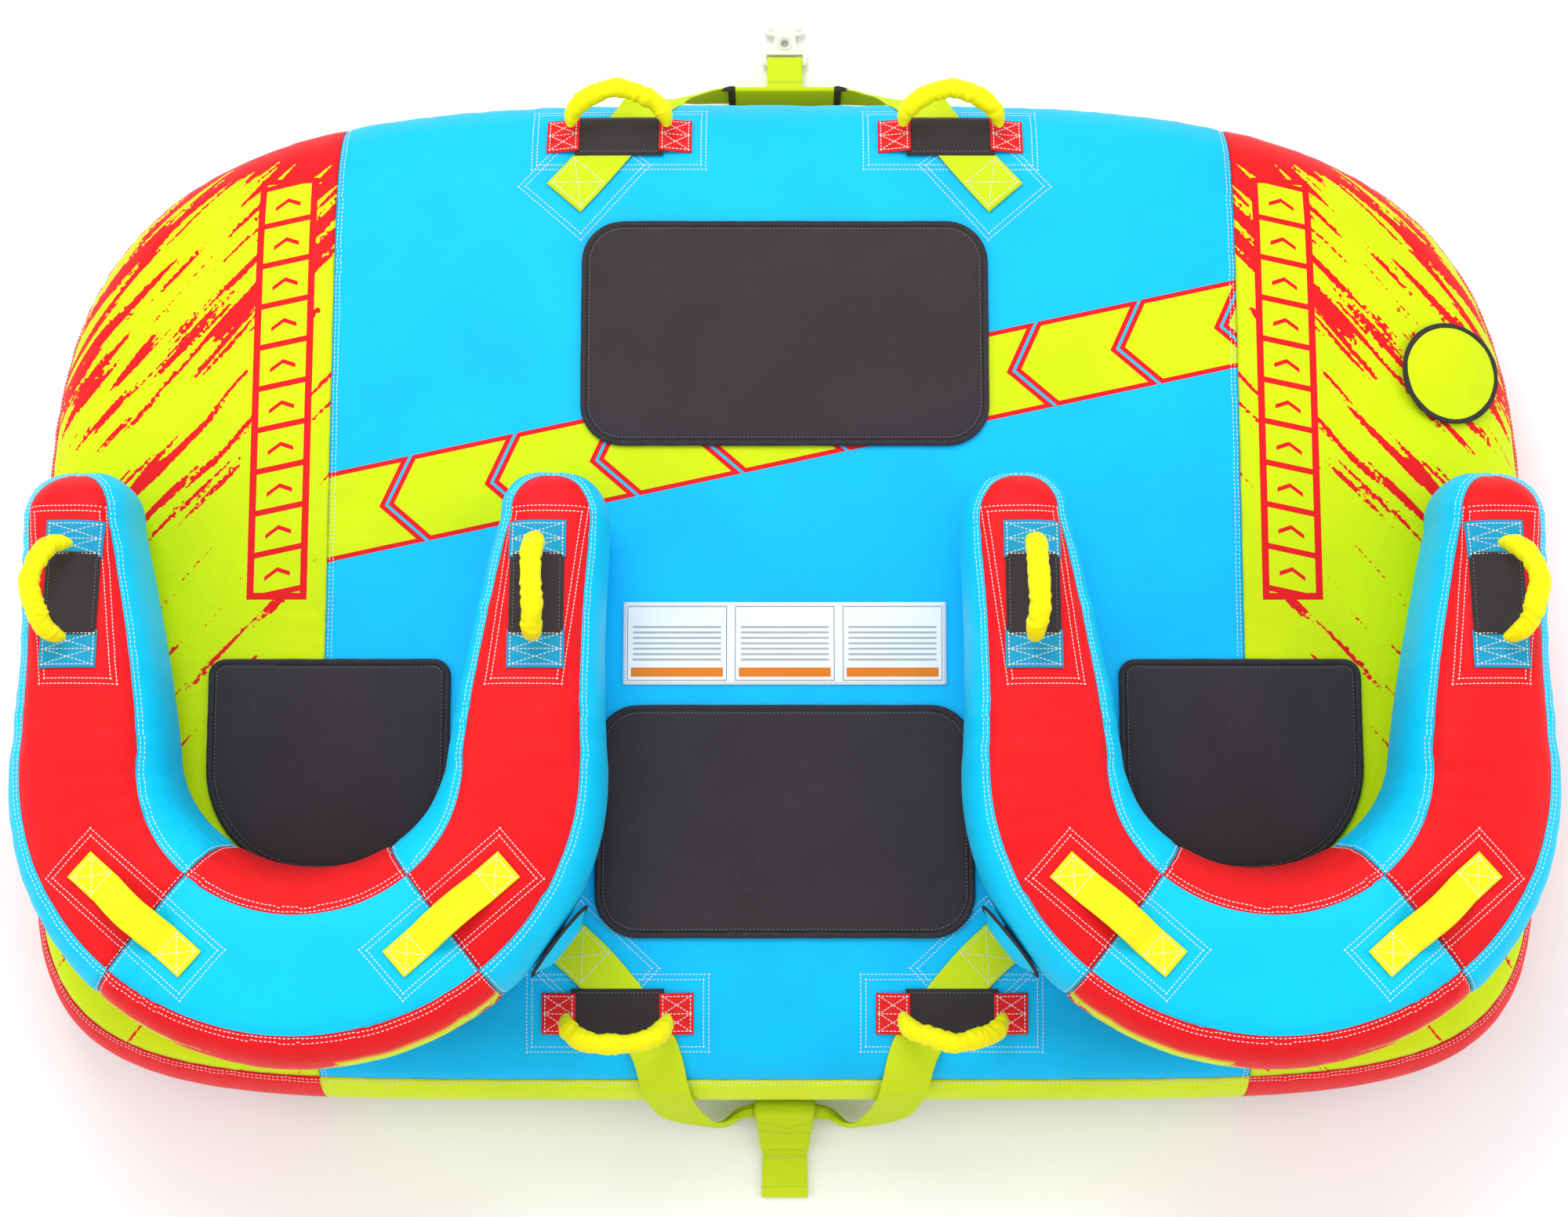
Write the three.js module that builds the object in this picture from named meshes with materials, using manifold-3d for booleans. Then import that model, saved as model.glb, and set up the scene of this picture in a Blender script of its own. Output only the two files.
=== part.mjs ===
// Towable inflatable tube: a wide soft deck that carries two horseshoe cockpits, with handles,
// boarding straps, inflation valves, and a tow harness at the front and at the rear.
// Millimetres, +Z up, +Y towards the front tow point, origin at the middle of the footprint.

import * as THREE from 'three';
import { mergeVertices } from 'three/addons/utils/BufferGeometryUtils.js';
import Module from 'manifold-3d';

const wasm = await Module();
wasm.setup();

// ---------------------------------------------------------------- driving dimensions

const SKIN = 3; // thickness of a cover panel and of a bladder wall
const SLACK = 6; // room between a cover and the bladder in it
const SEAM = 0.3; // gap between pieces that touch

const DECK = {
  halfWidth: 1190,
  front: 863, // reach of the outline ahead of its centre
  rear: 749,
  centreY: -75,
  midZ: 145,
  rise: 145, // from the middle of the side wall to the top
  drop: 150, // to the bottom, cut flat where it would pass the ground
  edgePower: 14, // how square the side wall's section is
  frontPower: 3.6, // how square the outline is
  rearPower: 6.3,
  panelSeamX: 715,
  steps: 9, // points in a quarter of the outline
};
const SEAM_LEVEL = { front: 0.25, side: 0.35, rear: 0.68, lower: -0.6 };

const COCKPIT = {
  centreX: 705,
  cornerY: -318, // where the straight arms meet the curved back
  halfSpan: 322,
  backDepth: 300,
  armLength: 360,
  splay: 36, // how far the arm tips spread
  noseLength: 85,
  armHalfWidth: 118,
  tipNarrowing: 36,
  backBulge: 28,
  crownZ: 556,
  tipDrop: 31,
  backLean: 14,
  sectionPower: 3.2,
  sectionPoints: 12,
  seamAngle: 50, // degrees round the back, where the back panel meets the arm
};

const PAD = { thickness: 12, cornerRadius: 65 };
const HANDLE = {
  deckSpan: 180,
  armSpan: 166,
  rise: 72,
  gripRadius: 17.5,
  endRadius: 7,
  axisHeight: 8, // of the sewn ends over the plate
  deckLift: 9, // of the plate over the deck, with the tow webbing under it
  armLift: 1.5,
  plateThickness: 5,
  frontLean: -26, // degrees that the grip leans over at rest
  rearLean: 30,
  outboardLean: 34,
};
const BOARDING = { length: 217, width: 49, thickness: 3, sewn: 50, bow: 26 };
const WEBBING = { width: 73, thickness: 3 };
const VALVE = { bore: 15, neck: 22, flange: 34, cap: 27, seat: 4, deckFlap: 78, cockpitFlap: 62 };
const ZIPPER = { length: 1100, width: 34, y: -618, tapeZ: 5, tapeThickness: 2 };

// ---------------------------------------------------------------- colours

const COLOUR = {
  blue: 0x00c8ff,
  wall: 0x00d7ff,
  lime: 0xdcf000,
  webbing: 0xcde100,
  red: 0xf0191e,
  yellow: 0xfffa00,
  pad: 0x3c3238,
  charcoal: 0x3c373c,
  teal: 0x14bee1,
  white: 0xf4f4f2,
  bladder: 0x2a2a2e,
  underside: 0x1b1d22,
};

const object = new THREE.Group();

function addNode(name, geometry, colour, frame, roughness = 0.6) {
  const material = new THREE.MeshStandardMaterial({ color: colour, roughness, metalness: 0 });
  const mesh = new THREE.Mesh(geometry, material);
  mesh.name = name;
  if (frame) mesh.applyMatrix4(frame);
  object.add(mesh);
  return mesh;
}

// ---------------------------------------------------------------- solids

const point = (x, y, z) => new THREE.Vector3(x, y, z);
const unit = (x, y, z) => new THREE.Vector3(x, y, z).normalize();

// A closed surface through a run of rings. A ring of one point is a pole, and an open end is
// closed flat round its middle. With loop, the last ring joins the first. The quads of
// turnedSide are split along their other diagonal.
function skin(rings, loop = false, turnedSide = -1) {
  const run = rings.slice();
  const middle = (ring) => {
    const sum = ring.reduce((total, p) => total.add(p), point(0, 0, 0));
    return [sum.divideScalar(ring.length)];
  };
  if (!loop && run[0].length > 1) run.unshift(middle(run[0]));
  if (!loop && run[run.length - 1].length > 1) run.push(middle(run[run.length - 1]));
  if (loop) run.push(run[0]);
  const corners = [];
  for (let k = 0; k + 1 < run.length; k += 1) {
    const [a, b] = [run[k], run[k + 1]];
    const count = Math.max(a.length, b.length);
    for (let i = 0; i < count; i += 1) {
      const j = (i + 1) % count;
      if (i === turnedSide && a.length === b.length) {
        corners.push(a[i], b[i], a[j], b[i], b[j], a[j]);
        continue;
      }
      if (b.length > 1) corners.push(a[i % a.length], b[i], b[j]);
      if (a.length > 1) corners.push(a[i], b[j % b.length], a[j]);
    }
  }
  const geometry = new THREE.BufferGeometry().setFromPoints(corners);
  return solidVolume(corners) < 0 ? turnedOut(geometry) : geometry;
}

function solidVolume(corners) {
  let volume = 0;
  for (let i = 0; i < corners.length; i += 3) {
    const across = corners[i + 1].clone().cross(corners[i + 2]);
    volume += corners[i].dot(across) / 6;
  }
  return volume;
}

function turnedOut(geometry) {
  const place = geometry.getAttribute('position');
  const held = [point(0, 0, 0), point(0, 0, 0)];
  for (let i = 0; i < place.count; i += 3) {
    held[0].fromBufferAttribute(place, i + 1);
    held[1].fromBufferAttribute(place, i + 2);
    place.setXYZ(i + 1, held[1].x, held[1].y, held[1].z);
    place.setXYZ(i + 2, held[0].x, held[0].y, held[0].z);
  }
  return geometry;
}

function toManifold(geometry) {
  const bare = geometry.clone();
  bare.deleteAttribute('normal');
  bare.deleteAttribute('uv');
  const merged = mergeVertices(bare, 1e-3);
  return new wasm.Manifold(new wasm.Mesh({
    numProp: 3,
    vertProperties: merged.getAttribute('position').array,
    triVerts: new Uint32Array(merged.index.array),
  }));
}

function toGeometry(solid) {
  const mesh = solid.getMesh();
  const geometry = new THREE.BufferGeometry();
  geometry.setAttribute('position', new THREE.BufferAttribute(mesh.vertProperties, 3));
  geometry.setIndex(new THREE.BufferAttribute(mesh.triVerts, 1));
  return geometry;
}

function cut(geometry, ...tools) {
  let solid = toManifold(geometry);
  for (const tool of tools) solid = solid.subtract(toManifold(tool));
  return toGeometry(solid);
}

function join(geometry, ...others) {
  let solid = toManifold(geometry);
  for (const other of others) solid = solid.add(toManifold(other));
  return toGeometry(solid);
}

function within(geometry, region) {
  return toGeometry(toManifold(geometry).intersect(toManifold(region)));
}

function block(low, high) {
  const size = high.clone().sub(low);
  const middle = low.clone().add(high).multiplyScalar(0.5);
  return new THREE.BoxGeometry(size.x, size.y, size.z).translate(middle.x, middle.y, middle.z);
}

// ---------------------------------------------------------------- the deck's surface

// Points round the deck's outline from its centre, evenly spaced along each quarter.
function outlineQuarter(signX, signY) {
  const reach = signY > 0 ? DECK.front : DECK.rear;
  const power = signY > 0 ? DECK.frontPower : DECK.rearPower;
  const fine = 300;
  const run = [];
  let length = 0;
  for (let i = 0; i <= fine; i += 1) {
    const angle = (Math.PI / 2) * (i / fine);
    const x = signX * DECK.halfWidth * Math.pow(Math.cos(angle) + 1e-12, 2 / power);
    const y = signY * reach * Math.pow(Math.sin(angle), 2 / power);
    if (i > 0) length += Math.hypot(x - run[i - 1].x, y - run[i - 1].y);
    run.push({ x, y, length });
  }
  run[fine].x = 0;
  const picked = [];
  for (let k = 0; k <= DECK.steps; k += 1) {
    picked.push(run.find((p) => p.length >= (length * k) / DECK.steps - 1e-6));
  }
  return picked;
}

function outline() {
  const quarters = [
    outlineQuarter(1, 1),
    outlineQuarter(-1, 1).reverse(),
    outlineQuarter(-1, -1),
    outlineQuarter(1, -1).reverse(),
  ];
  return quarters.flatMap((quarter) => quarter.slice(0, -1));
}
const OUTLINE = outline();

// How far out a plan position lies: 0 at the deck's centre and 1 on its outline.
function deckReach(x, y) {
  const ahead = y - DECK.centreY;
  const power = ahead > 0 ? DECK.frontPower : DECK.rearPower;
  const depth = ahead > 0 ? DECK.front : DECK.rear;
  const sum = Math.pow(Math.abs(x) / DECK.halfWidth, power)
    + Math.pow(Math.abs(ahead) / depth, power);
  return Math.pow(sum, 1 / power);
}

const levelAt = (reach) => Math.sqrt(Math.max(0, 1 - Math.pow(reach, DECK.edgePower)));

function deckTop(x, y) {
  return DECK.midZ + DECK.rise * levelAt(deckReach(x, y));
}

function deckNormal(x, y) {
  const step = 0.5;
  const slopeX = (deckTop(x + step, y) - deckTop(x - step, y)) / (2 * step);
  const slopeY = (deckTop(x, y + step) - deckTop(x, y - step)) / (2 * step);
  return unit(-slopeX, -slopeY, 1);
}

// A point of the deck's skin: level is 1 at the top, 0 halfway down the wall and -1 below.
function deckPoint(way, level, inset) {
  const reach = Math.pow(1 - level * level, 1 / DECK.edgePower);
  const depth = way.y > 0 ? DECK.front : DECK.rear;
  const height = (level > 0 ? DECK.rise : DECK.drop) - inset;
  return point(
    way.x * reach * (1 - inset / DECK.halfWidth),
    DECK.centreY + way.y * reach * (1 - inset / depth),
    Math.max(inset, DECK.midZ + height * level),
  );
}

const deckRing = (levelOf, inset) => OUTLINE.map((way) => deckPoint(way, levelOf(way), inset));
const topPole = (inset) => [point(0, DECK.centreY, DECK.midZ + DECK.rise - inset)];
const bottomPole = (inset) => [point(0, DECK.centreY, inset)];

// The upper seam is low at the front, where the top panel rolls over, and high at the rear.
function seamLevel(way) {
  const depth = way.y > 0 ? DECK.front : DECK.rear;
  const share = Math.pow(Math.abs(way.y) / depth, 3);
  const end = way.y > 0 ? SEAM_LEVEL.front : SEAM_LEVEL.rear;
  return THREE.MathUtils.lerp(SEAM_LEVEL.side, end, share);
}

function topLevels(shares) {
  return shares.map((share) => (way) => {
    const seamReach = Math.pow(1 - seamLevel(way) ** 2, 1 / DECK.edgePower);
    return levelAt(seamReach * share);
  });
}

function wallLevels(steps) {
  const rows = [];
  for (let k = 0; k <= steps; k += 1) {
    rows.push((way) => THREE.MathUtils.lerp(seamLevel(way), SEAM_LEVEL.lower, k / steps));
  }
  return rows;
}

const TOP_SHARES = [0.5, 0.8, 0.9, 0.96, 1];
const BOTTOM_LEVELS = [-0.6, -0.85, -DECK.midZ / DECK.drop].map((level) => () => level);
const FLAT_LEVEL = BOTTOM_LEVELS[2];

function thinShell(rows, startPole, endPole) {
  const outer = rows.map((row) => deckRing(row, 0));
  const inner = rows.map((row) => deckRing(row, SKIN)).reverse();
  if (startPole) return skin([startPole(0), ...outer, ...inner, startPole(SKIN)]);
  if (endPole) return skin([endPole(0), ...outer.reverse(), ...inner.reverse(), endPole(SKIN)]);
  return skin([...outer, ...inner], true);
}

const REGION = 3000; // larger than the object, for cutting it into panels
const leftRegion = () => block(
  point(-REGION, -REGION, -REGION),
  point(-DECK.panelSeamX, REGION, REGION),
);
const middleRegion = (lowY, highY) => block(
  point(-DECK.panelSeamX + SEAM, lowY, -REGION),
  point(DECK.panelSeamX - SEAM, highY, REGION),
);
const rightRegion = () => block(
  point(DECK.panelSeamX, -REGION, -REGION),
  point(REGION, REGION, REGION),
);

// A frame on the deck with its Z along the surface's normal and its X turned in plan.
function deckFrame(x, y, turn = 0) {
  return surfaceFrame(point(x, y, deckTop(x, y)), deckNormal(x, y), turn);
}

function surfaceFrame(origin, up, turn = 0) {
  const ahead = point(Math.cos(turn), Math.sin(turn), 0);
  const side = up.clone().cross(ahead).normalize();
  const along = side.clone().cross(up);
  return new THREE.Matrix4().makeBasis(along, side, up).setPosition(origin);
}

// ---------------------------------------------------------------- cockpit tubes

// Position along the horseshoe: 0 is the outboard tip, 1 and 3 are the ends of the curved
// back, 2 is its middle and 4 is the inboard tip. Local x grows outboard.
function cockpitStation(along) {
  const inboard = along > 2;
  const mirrored = inboard ? 4 - along : along;
  const flip = inboard ? -1 : 1;
  if (mirrored < 1) {
    const ahead = 1 - mirrored;
    return {
      x: flip * (COCKPIT.halfSpan + COCKPIT.splay * Math.pow(ahead, 1.6)),
      y: COCKPIT.cornerY + COCKPIT.armLength * ahead,
      outward: { x: flip, y: -0.06 * ahead },
      halfWidth: COCKPIT.armHalfWidth - COCKPIT.tipNarrowing * ahead,
      crown: COCKPIT.crownZ - COCKPIT.tipDrop * ahead,
      lean: 0,
    };
  }
  const angle = (mirrored - 1) * (Math.PI / 2);
  const [c, s] = [Math.cos(angle), Math.sin(angle)];
  const slope = Math.hypot(c / COCKPIT.halfSpan, s / COCKPIT.backDepth);
  return {
    x: flip * COCKPIT.halfSpan * c,
    y: COCKPIT.cornerY - COCKPIT.backDepth * s,
    outward: { x: (flip * c) / COCKPIT.halfSpan / slope, y: -s / COCKPIT.backDepth / slope },
    halfWidth: COCKPIT.armHalfWidth + COCKPIT.backBulge * s,
    crown: COCKPIT.crownZ,
    lean: COCKPIT.backLean * s,
  };
}

const rounded = (value, power) => Math.sign(value) * Math.pow(Math.abs(value), 2 / power);

// The tube stands on the deck, a little clear of it where the deck curves away.
function footHeight(x, y) {
  const reach = deckReach(x, y);
  return deckTop(x, y) + 1.5 + 14 * Math.pow(reach, DECK.edgePower);
}

// A point of the tube's skin: turn 0 faces outward and a quarter turn is the crown.
function cockpitPoint(side, along, turn, inset, nose = 0) {
  const station = cockpitStation(along);
  const shrink = Math.pow(1 - Math.pow(nose, 2.4), 1 / 2.4);
  const reach = (station.halfWidth - inset) * shrink;
  const across = rounded(Math.cos(turn), COCKPIT.sectionPower) * reach;
  const up = (rounded(Math.sin(turn), COCKPIT.sectionPower) + 1) / 2;
  const shift = across + station.lean * (2 * up - 1);
  const x = side * (COCKPIT.centreX + station.x + station.outward.x * shift);
  const y = station.y + station.outward.y * shift + nose * (COCKPIT.noseLength - inset);
  const foot = footHeight(x, y) + inset;
  const crown = station.crown - inset;
  const height = crown - foot;
  const low = foot + height * (1 - shrink) * 0.35;
  const high = crown - height * (1 - shrink) * 0.6;
  return point(x, y, THREE.MathUtils.lerp(low, high, up));
}

function cockpitRing(side, along, inset, nose = 0) {
  const ring = [];
  for (let i = 0; i < COCKPIT.sectionPoints; i += 1) {
    const turn = (2 * Math.PI * i) / COCKPIT.sectionPoints;
    ring.push(cockpitPoint(side, along, turn, inset, nose));
  }
  return ring;
}

const NOSE_STEPS = [0.45, 0.78, 0.95];
const BACK_START = 1 + COCKPIT.seamAngle / 90;
const ARM_STATIONS = [0, 0.5, 1, 1.3];
const SEAM_STEP = 0.0005; // half the gap at a seam, as a share of the run

function noseRings(side, along, inset) {
  const tip = cockpitRing(side, along, inset, 0.995);
  const pole = tip.reduce((sum, p) => sum.add(p), point(0, 0, 0)).divideScalar(tip.length);
  const rings = NOSE_STEPS.map((nose) => cockpitRing(side, along, inset, nose));
  return [...rings, [pole]].reverse();
}

// Rings from one place on the horseshoe to another, run past an open end for a cutting tool.
function armRings(side, inboard, inset, overrun) {
  const alongs = [...ARM_STATIONS, BACK_START - SEAM_STEP + overrun];
  const rings = alongs.map((along) => cockpitRing(side, inboard ? 4 - along : along, inset));
  return [...noseRings(side, inboard ? 4 : 0, inset), ...rings];
}

function backRings(side, inset, overrun) {
  const start = BACK_START + SEAM_STEP;
  const alongs = [start - overrun, 1.85, 2.15, 4 - start + overrun];
  return alongs.map((along) => cockpitRing(side, along, inset));
}

function bladderRings(side, inset) {
  const half = [...ARM_STATIONS, BACK_START, 1.85];
  const alongs = [...half, ...half.map((along) => 4 - along).reverse()];
  const rings = alongs.map((along) => cockpitRing(side, along, inset));
  return [...noseRings(side, 0, inset), ...rings, ...noseRings(side, 4, inset).reverse()];
}

function crownFrame(side, along, turn) {
  const slope = along < 1 || along > 3 ? COCKPIT.tipDrop / COCKPIT.armLength : 0;
  return surfaceFrame(cockpitPoint(side, along, Math.PI / 2, 0), unit(0, slope, 1), turn);
}

// ---------------------------------------------------------------- valves

// All valve pieces stand on their frame's XY plane, which touches the cover.
const VALVE_SIDES = 12;

function valveBody() {
  const inner = -(SKIN + SLACK + SKIN + 8);
  const profile = [
    [VALVE.bore, inner],
    [VALVE.neck, inner],
    [VALVE.neck, VALVE.seat],
    [VALVE.flange, VALVE.seat],
    [VALVE.flange, VALVE.seat + 4],
    [VALVE.bore, VALVE.seat + 4],
  ];
  const loop = [...profile, profile[0]].map(([r, z]) => new THREE.Vector2(r, z));
  return new THREE.LatheGeometry(loop, VALVE_SIDES).rotateX(Math.PI / 2);
}

function valveCap() {
  const plug = VALVE.bore - 1;
  const profile = [[0, -7], [plug, -7], [plug, 4.5], [VALVE.cap, 4.5], [VALVE.cap, 11], [0, 12]];
  const run = profile.map(([r, z]) => new THREE.Vector2(r, z + VALVE.seat));
  return new THREE.LatheGeometry(run, VALVE_SIDES).rotateX(Math.PI / 2);
}

function valveFlap(radius) {
  const profile = [
    [0, 19],
    [VALVE.flange + 3, 17.5],
    [radius, 6],
    [radius, 9],
    [VALVE.flange + 6, 20.5],
    [0, 22],
  ];
  const run = profile.map(([r, z]) => new THREE.Vector2(r, z));
  return new THREE.LatheGeometry(run, 18).rotateX(Math.PI / 2);
}

function addValve(name, frame, flapRadius, flapColour) {
  addNode(`${name}_valve_body`, valveBody(), COLOUR.charcoal, frame, 0.4);
  const cap = addNode(`${name}_valve_cap`, valveCap(), COLOUR.charcoal, frame, 0.4);
  cap.userData.pivot = { at: point(0, 0, 0), axis: point(0, 0, 1) };
  const flap = addNode(`${name}_valve_flap`, valveFlap(flapRadius), flapColour, frame, 0.7);
  flap.userData.pivot = { at: point(0, flapRadius, 7.5), axis: point(-1, 0, 0) };
}

// A straight drill through covers and bladder along the frame's Z, open at both ends.
function drill(radius, frame) {
  const tool = new THREE.CylinderGeometry(radius, radius, 100, VALVE_SIDES);
  return tool.rotateX(Math.PI / 2).applyMatrix4(frame);
}

const deckValveFrame = deckFrame(1051, 312, Math.PI * 0.5);

function cockpitValveFrame(side) {
  const along = 2.6;
  const at = cockpitPoint(side, along, 0, 0);
  const station = cockpitStation(along);
  const up = unit(side * station.outward.x, station.outward.y, 0);
  const top = point(0, 0, 1);
  return new THREE.Matrix4().makeBasis(top.clone().cross(up), top, up).setPosition(at);
}

// ---------------------------------------------------------------- deck

const LOWER_SEAM_Z = DECK.midZ + DECK.drop * SEAM_LEVEL.lower - 2 * SEAM;

function addDeck() {
  const top = thinShell(topLevels(TOP_SHARES), topPole);
  const band = thinShell(wallLevels(4));
  const bottom = thinShell(BOTTOM_LEVELS, null, bottomPole);
  const valveHole = drill(VALVE.neck + 1.5, deckValveFrame);

  addNode('deck_top_center', within(top, middleRegion(-REGION, REGION)), COLOUR.blue);
  addNode('deck_top_left', within(top, leftRegion()), COLOUR.lime);
  addNode('deck_top_right', cut(within(top, rightRegion()), valveHole), COLOUR.lime);

  const lowered = band.translate(0, 0, -SEAM);
  addNode('deck_band_front', within(lowered, middleRegion(DECK.centreY, REGION)), COLOUR.lime);
  addNode('deck_band_rear', within(lowered, middleRegion(-REGION, DECK.centreY)), COLOUR.lime);
  addNode('deck_band_left', within(lowered, leftRegion()), COLOUR.red);
  addNode('deck_band_right', within(lowered, rightRegion()), COLOUR.red);

  const half = ZIPPER.length / 2;
  const slotLow = point(-half, ZIPPER.y - ZIPPER.width / 2 + 5, -10);
  const slotHigh = point(half, ZIPPER.y + ZIPPER.width / 2 - 5, SKIN + 1);
  const opened = cut(bottom, block(slotLow, slotHigh));
  const underSeam = block(point(-REGION, -REGION, -10), point(REGION, REGION, LOWER_SEAM_Z));
  addNode('deck_bottom', within(opened, underSeam), COLOUR.underside);

  const bladderRows = [
    ...topLevels([0.8, 0.9, 0.96, 1]),
    () => 0,
    () => SEAM_LEVEL.lower,
    FLAT_LEVEL,
  ];
  const bladderSolid = (inset) => skin([
    topPole(inset),
    ...bladderRows.map((row) => deckRing(row, inset)),
    bottomPole(inset),
  ]);
  const outside = SKIN + SLACK;
  const bladder = cut(bladderSolid(outside), bladderSolid(outside + SKIN), valveHole);
  addNode('deck_bladder', bladder, COLOUR.bladder, null, 0.35);
}

function addZipper() {
  const { length, width, y, tapeZ, tapeThickness } = ZIPPER;
  const low = point(-length / 2, y - width / 2, tapeZ);
  const high = point(length / 2, y + width / 2, tapeZ + tapeThickness);
  addNode('deck_zipper', block(low, high), COLOUR.charcoal);
  const body = block(point(-14, y - 8, 0.8), point(14, y + 8, tapeZ - SEAM));
  const pull = block(point(13, y - 4, 0.8), point(52, y + 4, 2.8));
  const slider = join(body, pull).translate(-length / 2 + 24, 0, 0);
  const mesh = addNode('zipper_slider', slider, COLOUR.charcoal, null, 0.35);
  mesh.userData.pivot = { at: point(-length / 2 + 24, y, 3), axis: point(1, 0, 0) };
}

// ---------------------------------------------------------------- pads and label

function roundedRectangle(width, depth, radius) {
  const [w, d] = [width / 2, depth / 2];
  const shape = new THREE.Shape();
  shape.moveTo(-w + radius, -d);
  shape.lineTo(w - radius, -d);
  shape.absarc(w - radius, -d + radius, radius, -Math.PI / 2, 0);
  shape.absarc(w - radius, d - radius, radius, 0, Math.PI / 2);
  shape.absarc(-w + radius, d - radius, radius, Math.PI / 2, Math.PI);
  shape.absarc(-w + radius, -d + radius, radius, Math.PI, Math.PI * 1.5);
  return shape;
}

// The cockpit pad is square at the front and round at the back, like the floor that it covers.
function cockpitPadShape(width, depth) {
  const [w, d] = [width / 2, depth / 2];
  const [small, large] = [25, 165];
  const shape = new THREE.Shape();
  shape.moveTo(-w + large, -d);
  shape.lineTo(w - large, -d);
  shape.absarc(w - large, -d + large, large, -Math.PI / 2, 0);
  shape.absarc(w - small, d - small, small, 0, Math.PI / 2);
  shape.absarc(-w + small, d - small, small, Math.PI / 2, Math.PI);
  shape.absarc(-w + large, -d + large, large, Math.PI, Math.PI * 1.5);
  return shape;
}

function slab(shape, x, y, thickness) {
  const settings = { depth: thickness, bevelEnabled: false, curveSegments: 2 };
  const restZ = DECK.midZ + DECK.rise + SEAM;
  return new THREE.ExtrudeGeometry(shape, settings).translate(x, y, restZ);
}

function addPads() {
  const front = roundedRectangle(640, 360, PAD.cornerRadius);
  const rear = roundedRectangle(580, 355, PAD.cornerRadius);
  addNode('pad_front', slab(front, 0, 374, PAD.thickness), COLOUR.pad, null, 0.9);
  addNode('pad_rear', slab(rear, 0, -395, PAD.thickness), COLOUR.pad, null, 0.9);
  for (const [name, side] of [['left', -1], ['right', 1]]) {
    const shape = cockpitPadShape(372, 330);
    const x = side * COCKPIT.centreX;
    addNode(`pad_${name}`, slab(shape, x, -311, PAD.thickness), COLOUR.pad, null, 0.9);
  }
  const restZ = DECK.midZ + DECK.rise + SEAM;
  const label = block(point(-251, -184, restZ), point(251, -55, restZ + 1.5));
  addNode('label_patch', label, COLOUR.white);
}

// ---------------------------------------------------------------- cockpits

function addCockpit(name, side) {
  const valveFrame = cockpitValveFrame(side);
  const hole = drill(VALVE.neck + 1.5, valveFrame);
  const outside = SKIN + SLACK;
  const arm = (inboard) => cut(
    skin(armRings(side, inboard, 0, 0)),
    skin(armRings(side, inboard, SKIN, 0.02)),
  );
  const back = cut(skin(backRings(side, 0, 0)), skin(backRings(side, SKIN, 0.02)));
  const bladder = cut(
    skin(bladderRings(side, outside)),
    skin(bladderRings(side, outside + SKIN)),
    hole,
  );
  addNode(`cockpit_${name}_bladder`, bladder, COLOUR.bladder, null, 0.35);
  addNode(`cockpit_${name}_cover_outboard_arm`, arm(false), COLOUR.red);
  addNode(`cockpit_${name}_cover_inboard_arm`, cut(arm(true), hole), COLOUR.red);
  addNode(`cockpit_${name}_cover_back`, back, COLOUR.blue);
  addValve(`cockpit_${name}`, valveFrame, VALVE.cockpitFlap, COLOUR.wall);
}

// ---------------------------------------------------------------- handles

// The grip's arch in its own frame: X along the two sewn ends, Z the way it stands up.
function gripArch(span) {
  const steps = 8;
  const rings = [];
  for (let k = 0; k <= steps; k += 1) {
    const angle = Math.PI * (1 - k / steps);
    const middle = point(
      (span / 2) * rounded(Math.cos(angle), 2.6),
      0,
      HANDLE.rise * rounded(Math.sin(angle), 2.6),
    );
    const out = unit(Math.cos(angle) * 0.9, 0, Math.sin(angle) + 0.15);
    const side = point(0, 1, 0);
    const share = Math.min(1, Math.sin(angle) * 1.8);
    const radius = THREE.MathUtils.lerp(HANDLE.endRadius, HANDLE.gripRadius, share);
    rings.push(circleRing(middle, out, side, radius, 6));
  }
  return skin(rings);
}

function circleRing(middle, out, side, radius, sides) {
  const ring = [];
  for (let i = 0; i < sides; i += 1) {
    const turn = (2 * Math.PI * i) / sides;
    const offset = out.clone().multiplyScalar(radius * Math.cos(turn))
      .addScaledVector(side, radius * Math.sin(turn));
    ring.push(middle.clone().add(offset));
  }
  return ring;
}

// The sewn patches and the guard between them, in the same frame.
function handlePlate(span, low, patchWidth, patchDepth, guardDepth) {
  const high = low + HANDLE.plateThickness;
  const patch = (x) => block(
    point(x - patchWidth / 2, -patchDepth / 2, low),
    point(x + patchWidth / 2, patchDepth / 2, high),
  );
  const guard = block(
    point(-span / 2 + 6, -guardDepth / 2, low),
    point(span / 2 - 6, guardDepth / 2, high - 1),
  );
  return join(guard, patch(-span / 2), patch(span / 2));
}

function addHandle(name, frame, span, lift, lean, plate, patchColour) {
  addNode(`${name}_handle_base`, plate, patchColour, frame);
  const axisZ = lift + HANDLE.plateThickness + HANDLE.axisHeight;
  const tilt = new THREE.Matrix4().makeTranslation(0, 0, axisZ)
    .multiply(new THREE.Matrix4().makeRotationX(THREE.MathUtils.degToRad(lean)));
  const place = frame.clone().multiply(tilt);
  const grip = addNode(`${name}_grip`, gripArch(span), COLOUR.yellow, place, 0.5);
  grip.userData.pivot = { at: point(0, 0, 0), axis: point(1, 0, 0) };
}

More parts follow.
